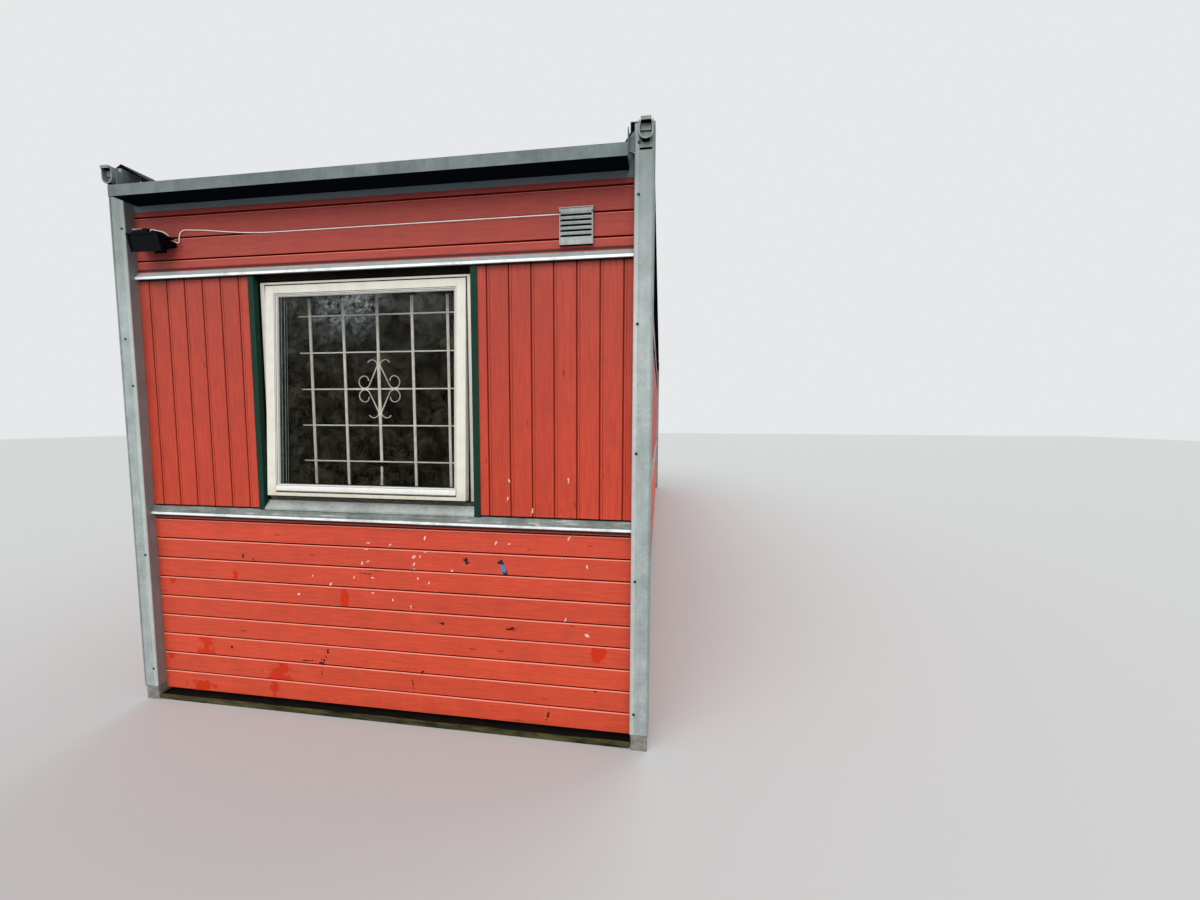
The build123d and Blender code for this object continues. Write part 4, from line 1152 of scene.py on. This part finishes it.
# The neck under the cap, and then the plug at the lamp's right end.
bar(shape, "front", (lamp_middle - 50 * mm, cap_face + 8 * mm, lamp_high.z - 12 * mm),
    (lamp_middle, cap_face + 36 * mm, lamp_high.z + 4 * mm), 0, "u", 31)
bar(shape, "front", (lamp_high.x - 6 * mm, cap_face + 20 * mm, lamp_high.z - 26 * mm),
    (lamp_high.x + 26 * mm, cap_face + 50 * mm, lamp_high.z - 14 * mm), plug_round, "u", 32)
finish_piece("lamp_cap", shape, black_coat)
# The grey strip along the cap's upper edge is a painted glint.
shape = begin()
bar(shape, "front", (cap_left + 8 * mm, cap_face - 0.6 * mm, cap_top - 9 * mm),
    (cap_right - 30 * mm, cap_face + 6 * mm, cap_top - 1.5 * mm), wear_round, "u", 33)
finish_piece("lamp_cap_painted_glint", shape, glint_on_black)

# %% Base planks
plank_face, plank_height, plank_lengths = 14 * mm, 31 * mm, 12
plank_end = post_inner - 2 * mm
plank_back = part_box("ground_bearers")[0].y + half_length
plank_step = 2 * plank_end / plank_lengths
top_set_back, top_rise = 5 * mm, 1.5 * mm


def plank_places():
    """Each short length of the plank at either end, as its wall and where it starts."""
    return [(wall, -plank_end + plank_step * i) for wall in ("front", "back") for i in range(plank_lengths)]


shape = begin()
for wall, u in plank_places():
    top = plank_height + random.uniform(-3, 1) * mm
    bar(shape, wall, (u, plank_face, 0.0), (u + plank_step, plank_back, top), 0, "u", 40)
finish_piece("base_planks", shape, algae_timber)
# The planks' tops are painted shade.
shape = begin()
for wall, u in plank_places():
    bar(shape, wall, (u, plank_face + top_set_back, plank_height - top_rise),
        (u + plank_step, plank_back, plank_height + top_rise), 0, "u", 40)
finish_piece("base_plank_tops", shape, shade_on_plank_tops)

# %% [markdown]
# ## Marks on the paint
# Years of use left chips down to the pale primer, open knots, a spot of blue and two of dark paint and
# patches touched up with a fresher orange red. They could be drawn in the paint's own nodes, but as thin,
# torn-edged flakes just off the boards each can lie where the real one does, and be moved by itself.

# %% Materials: marks


def mark_finish(name, hex_colour, ragged, strength=1.0, soft=0.12):
    """Paint for flakes, solid in their middle and torn at the rim; grain X runs from 0 to 1 outwards."""
    material, tree, surface = new_material(name, Base_Color=linear(hex_colour), Roughness=0.6)
    surface.inputs["Specular IOR Level"].default_value = 0.2
    place = add(tree, "TexCoord").outputs["Object"]
    grain = add(tree, "Attribute", attribute_name="grain").outputs["Vector"]
    out = add(tree, "SeparateXYZ", {0: grain}).outputs["X"]
    torn = add(tree, "TexNoise", {"Vector": place, "Scale": ragged, "Detail": 4.0}).outputs["Fac"]
    torn = add(tree, "MapRange", {0: torn, 1: 0.3, 2: 0.7, 3: -0.05, 4: 1.35}).outputs[0]
    inside = add(tree, "Math", {0: torn, 1: out}, operation="SUBTRACT").outputs[0]
    cover = add(tree, "MapRange", {0: inside, 1: 0.0, 2: soft, 3: 0.0, 4: strength}).outputs[0]
    tree.links.new(cover, surface.inputs["Alpha"])
    return material


primer_chip = mark_finish("chips_down_to_primer", "#F9D3C5", 190.0)
open_knot = mark_finish("open_knots_and_cracks", "#2A0E0A", 120.0, 0.9)
fresh_red = mark_finish("touched_up_orange_red", "#E2350A", 14.0, 0.7, 0.35)
blue_spot = mark_finish("spot_of_blue_paint", "#3489C4", 12.0)
dark_spot = mark_finish("spots_of_dark_paint", "#1D2326", 35.0)
print("five finishes for marks")

# %% Flakes
flake_sides = 18
flake_foot, flake_head = 9 * mm, 5 * mm


def flake(shape, x, z, width, height, lean, larger, proud):
    """A thin oval that leans by some degrees and stays within one flat board; its sizes are in mm."""
    grain = shape.verts.layers.float_vector["grain"]
    off_board = board_face - proud * mm
    tall, tilt = larger * height * mm, math.radians(lean)
    joint = lower_joint + board_pitch * math.floor((z - lower_joint) / board_pitch)
    stop_low, stop_high = joint + flake_foot, joint + board_pitch - flake_head
    on_flat_board = z < lower_joint
    centre = shape.verts.new(walls["front"] @ Vector((x, off_board, z)))
    centre[grain] = (0.0, 0.0, 0.0)
    rim = []
    for i in range(flake_sides):
        turn = i * math.tau / flake_sides
        across, up = larger * width / 2 * mm * math.cos(turn), tall / 2 * math.sin(turn)
        level = z + across * math.sin(tilt) + up * math.cos(tilt)
        stopped = min(max(level, stop_low), stop_high) if on_flat_board else level
        place = Vector((x + across * math.cos(tilt) - up * math.sin(tilt), off_board, stopped))
        vert = shape.verts.new(walls["front"] @ place)
        vert[grain] = (1.0 - 6 * abs(stopped - level) / tall, 0.0, 0.0)
        rim.append(vert)
    for first, second in zip(rim, rim[1:] + rim[:1]):
        shape.faces.new((centre, first, second))


print("flakes with", flake_sides, "sides")

# %% Where the marks are
# Each mark, as read off the picture: metres to the right of the middle and above the ground,
# width and height in mm, and how many degrees it leans.
chips = [
    (-0.039, 0.968, 30, 8, 0), (-0.052, 0.935, 26, 14, 10), (0.087, 0.963, 20, 8, 40),
    (-0.078, 0.858, 14, 30, -10), (-0.045, 0.868, 26, 10, 20), (-0.128, 0.778, 10, 20, -20),
    (-0.020, 0.780, 22, 8, 0), (-0.267, 0.732, 14, 26, -30), (-0.375, 0.770, 8, 18, -20),
    (-0.463, 0.664, 22, 12, 20), (-0.020, 0.697, 24, 8, 0), (0.094, 0.665, 10, 24, 20),
    (0.125, 0.600, 8, 18, 10), (0.220, 0.867, 34, 12, 45), (0.207, 0.829, 44, 16, 40),
    (0.285, 1.008, 12, 30, -10), (0.221, 0.905, 28, 18, 30), (0.254, 0.906, 10, 24, -10),
    (0.283, 0.934, 16, 8, 0), (0.339, 0.723, 16, 10, 30), (0.196, 0.634, 10, 22, 10),
    (1.048, 1.038, 12, 30, -30), (1.029, 0.618, 10, 34, -20), (1.139, 0.898, 8, 26, 5),
    (1.140, 0.547, 34, 16, -20), (0.670, 0.999, 12, 26, -30), (1.013, 0.938, 16, 18, 0),
    (0.862, 1.167, 8, 46, -8), (0.734, 1.226, 8, 30, -20), (0.743, 1.320, 8, 26, 15),
    (0.739, 0.997, 22, 8, 20), (0.430, 0.842, 12, 20, -30), (0.240, 0.790, 10, 16, 30),
    (0.300, 0.770, 8, 18, -20), (1.045, 1.330, 8, 36, 5)]
knots = [
    (-0.801, 0.861, 12, 26, 10), (-0.739, 0.847, 26, 8, -30), (-0.342, 0.281, 26, 34, 0),
    (-0.302, 0.353, 12, 26, 0), (-0.430, 0.288, 110, 6, 4), (-0.325, 0.300, 40, 16, 60),
    (-0.345, 0.225, 6, 50, 0), (0.937, 0.113, 12, 52, -15), (0.374, 0.556, 32, 12, 0),
    (0.248, 0.275, 10, 44, -50), (0.197, 0.198, 6, 60, 5), (0.746, 0.552, 52, 18, 0),
    (-0.820, 0.430, 40, 4, 0), (-0.905, 0.330, 12, 16, 0), (1.180, 0.260, 20, 10, 0),
    (0.150, 0.610, 50, 4, 3), (0.010, 0.820, 90, 4, 0), (-0.060, 0.800, 60, 4, -3)]
patches = [
    (-1.311, 0.248, 70, 90, 0), (-1.077, 0.315, 90, 95, 0), (-0.613, 0.200, 150, 100, 0),
    (-1.134, 0.088, 150, 60, 0), (-0.192, 0.664, 45, 100, 0), (1.190, 0.487, 75, 150, 0),
    (-1.275, 0.698, 40, 70, 0), (-0.859, 0.750, 30, 50, 0), (-0.640, 0.110, 50, 70, 0),
    (0.600, 0.500, 60, 30, 0)]
blues = [(0.700, 0.876, 40, 84, 25)]
darks = [(0.508, 0.897, 36, 36, 30), (0.704, 0.872, 42, 88, 25)]
print(len(chips + knots + patches + blues + darks), "marks")

# %% Marks
# Each kind: its finish and places, how much larger than its mark a flake is cut, because the torn rim
# takes some away, and how far it stands off the boards in mm, so that one kind can lie over another.
marks = {"primer_chips": (primer_chip, chips, 1.1, 0.35),
         "open_knots": (open_knot, knots, 1.4, 0.4),
         "touched_up_patches": (fresh_red, patches, 1.6, 0.15),
         "dark_paint_spots": (dark_spot, darks, 1.1, 0.3),
         "blue_paint_spot": (blue_spot, blues, 1.0, 0.5)}
for name, (finish, places, larger, proud) in marks.items():
    shape = begin()
    for place in places:
        flake(shape, *place, larger, proud)
    finish_piece(name, shape, finish)

# %% [markdown]
# ## Screws and nails
# Sheet-metal screws hold the post covers and the vent, and a nail shows near each end of every upright
# board. They are tiny, but the eye expects them. All are low domes, joined into one mesh of screws and
# one of nails.

# %% Screws


def dome(shape, wall, u, d, z, radius, height, sides=10):
    """A low round head that stands proud of a wall's surface at depth d."""
    loops = []
    for share, lift in ((1.0, 0.0), (0.92, 0.55), (0.55, 1.0)):
        loops.append([shape.verts.new(walls[wall] @ Vector((
            u + radius * share * math.cos(turn * math.tau / sides), d - height * lift,
            z + radius * share * math.sin(turn * math.tau / sides)))) for turn in range(sides)])
    skin(shape, loops)


screw_radius, screw_height = 7 * mm, 3.5 * mm
screw_inset = 20 * mm
right_screw_levels = (2.856, 2.634, 2.063, 1.467, 0.854, 0.188)
left_screw_levels = (2.856, 2.634, 1.800, 0.854, 0.188)
vent_screw_inset, vent_screw_drop = 3 * mm, 24 * mm
vent_screw_radius, vent_screw_height = 3.5 * mm, 2 * mm
outer_screw_inset, outer_screw_depth, outer_screw_level = 50 * mm, 2 * mm, 2.054
shape = begin()
for wall in ("front", "back"):
    for level in right_screw_levels:
        dome(shape, wall, post_inner + screw_inset, 0.0, level, screw_radius, screw_height)
    for level in left_screw_levels:
        dome(shape, wall, -post_inner - screw_inset, 0.0, level, screw_radius, screw_height)
    dome(shape, wall, -post_inner - outer_screw_inset, outer_screw_depth, outer_screw_level,
         screw_radius, screw_height)
for u in (vent_low.x + vent_screw_inset, vent_high.x - vent_screw_inset):
    dome(shape, "front", u, rim_top, vent_high.z - vent_screw_drop, vent_screw_radius, vent_screw_height)
finish_piece("cover_screws", shape, screw_steel)

# %% Nails
nail_radius, nail_height, nail_sides = 3 * mm, 0.6 * mm, 8
nail_levels = (middle_low.z + 28 * mm, middle_high.z - 32 * mm)
nail_depth = board_face + 0.7 * mm
shape = begin()
for first, u_low, u_high in ((left_joint, middle_low.x, trim_low.x),
                             (right_joint, trim_high.x, middle_high.x)):
    for edge in cuts(u_low, u_high, first, board_pitch)[:-1]:
        for level in nail_levels:
            u = edge + random.uniform(30, 80) * mm
            z = level + random.uniform(-6, 6) * mm
            dome(shape, "front", u, nail_depth, z, nail_radius, nail_height, nail_sides)
finish_piece("board_nails", shape, nail_paint)
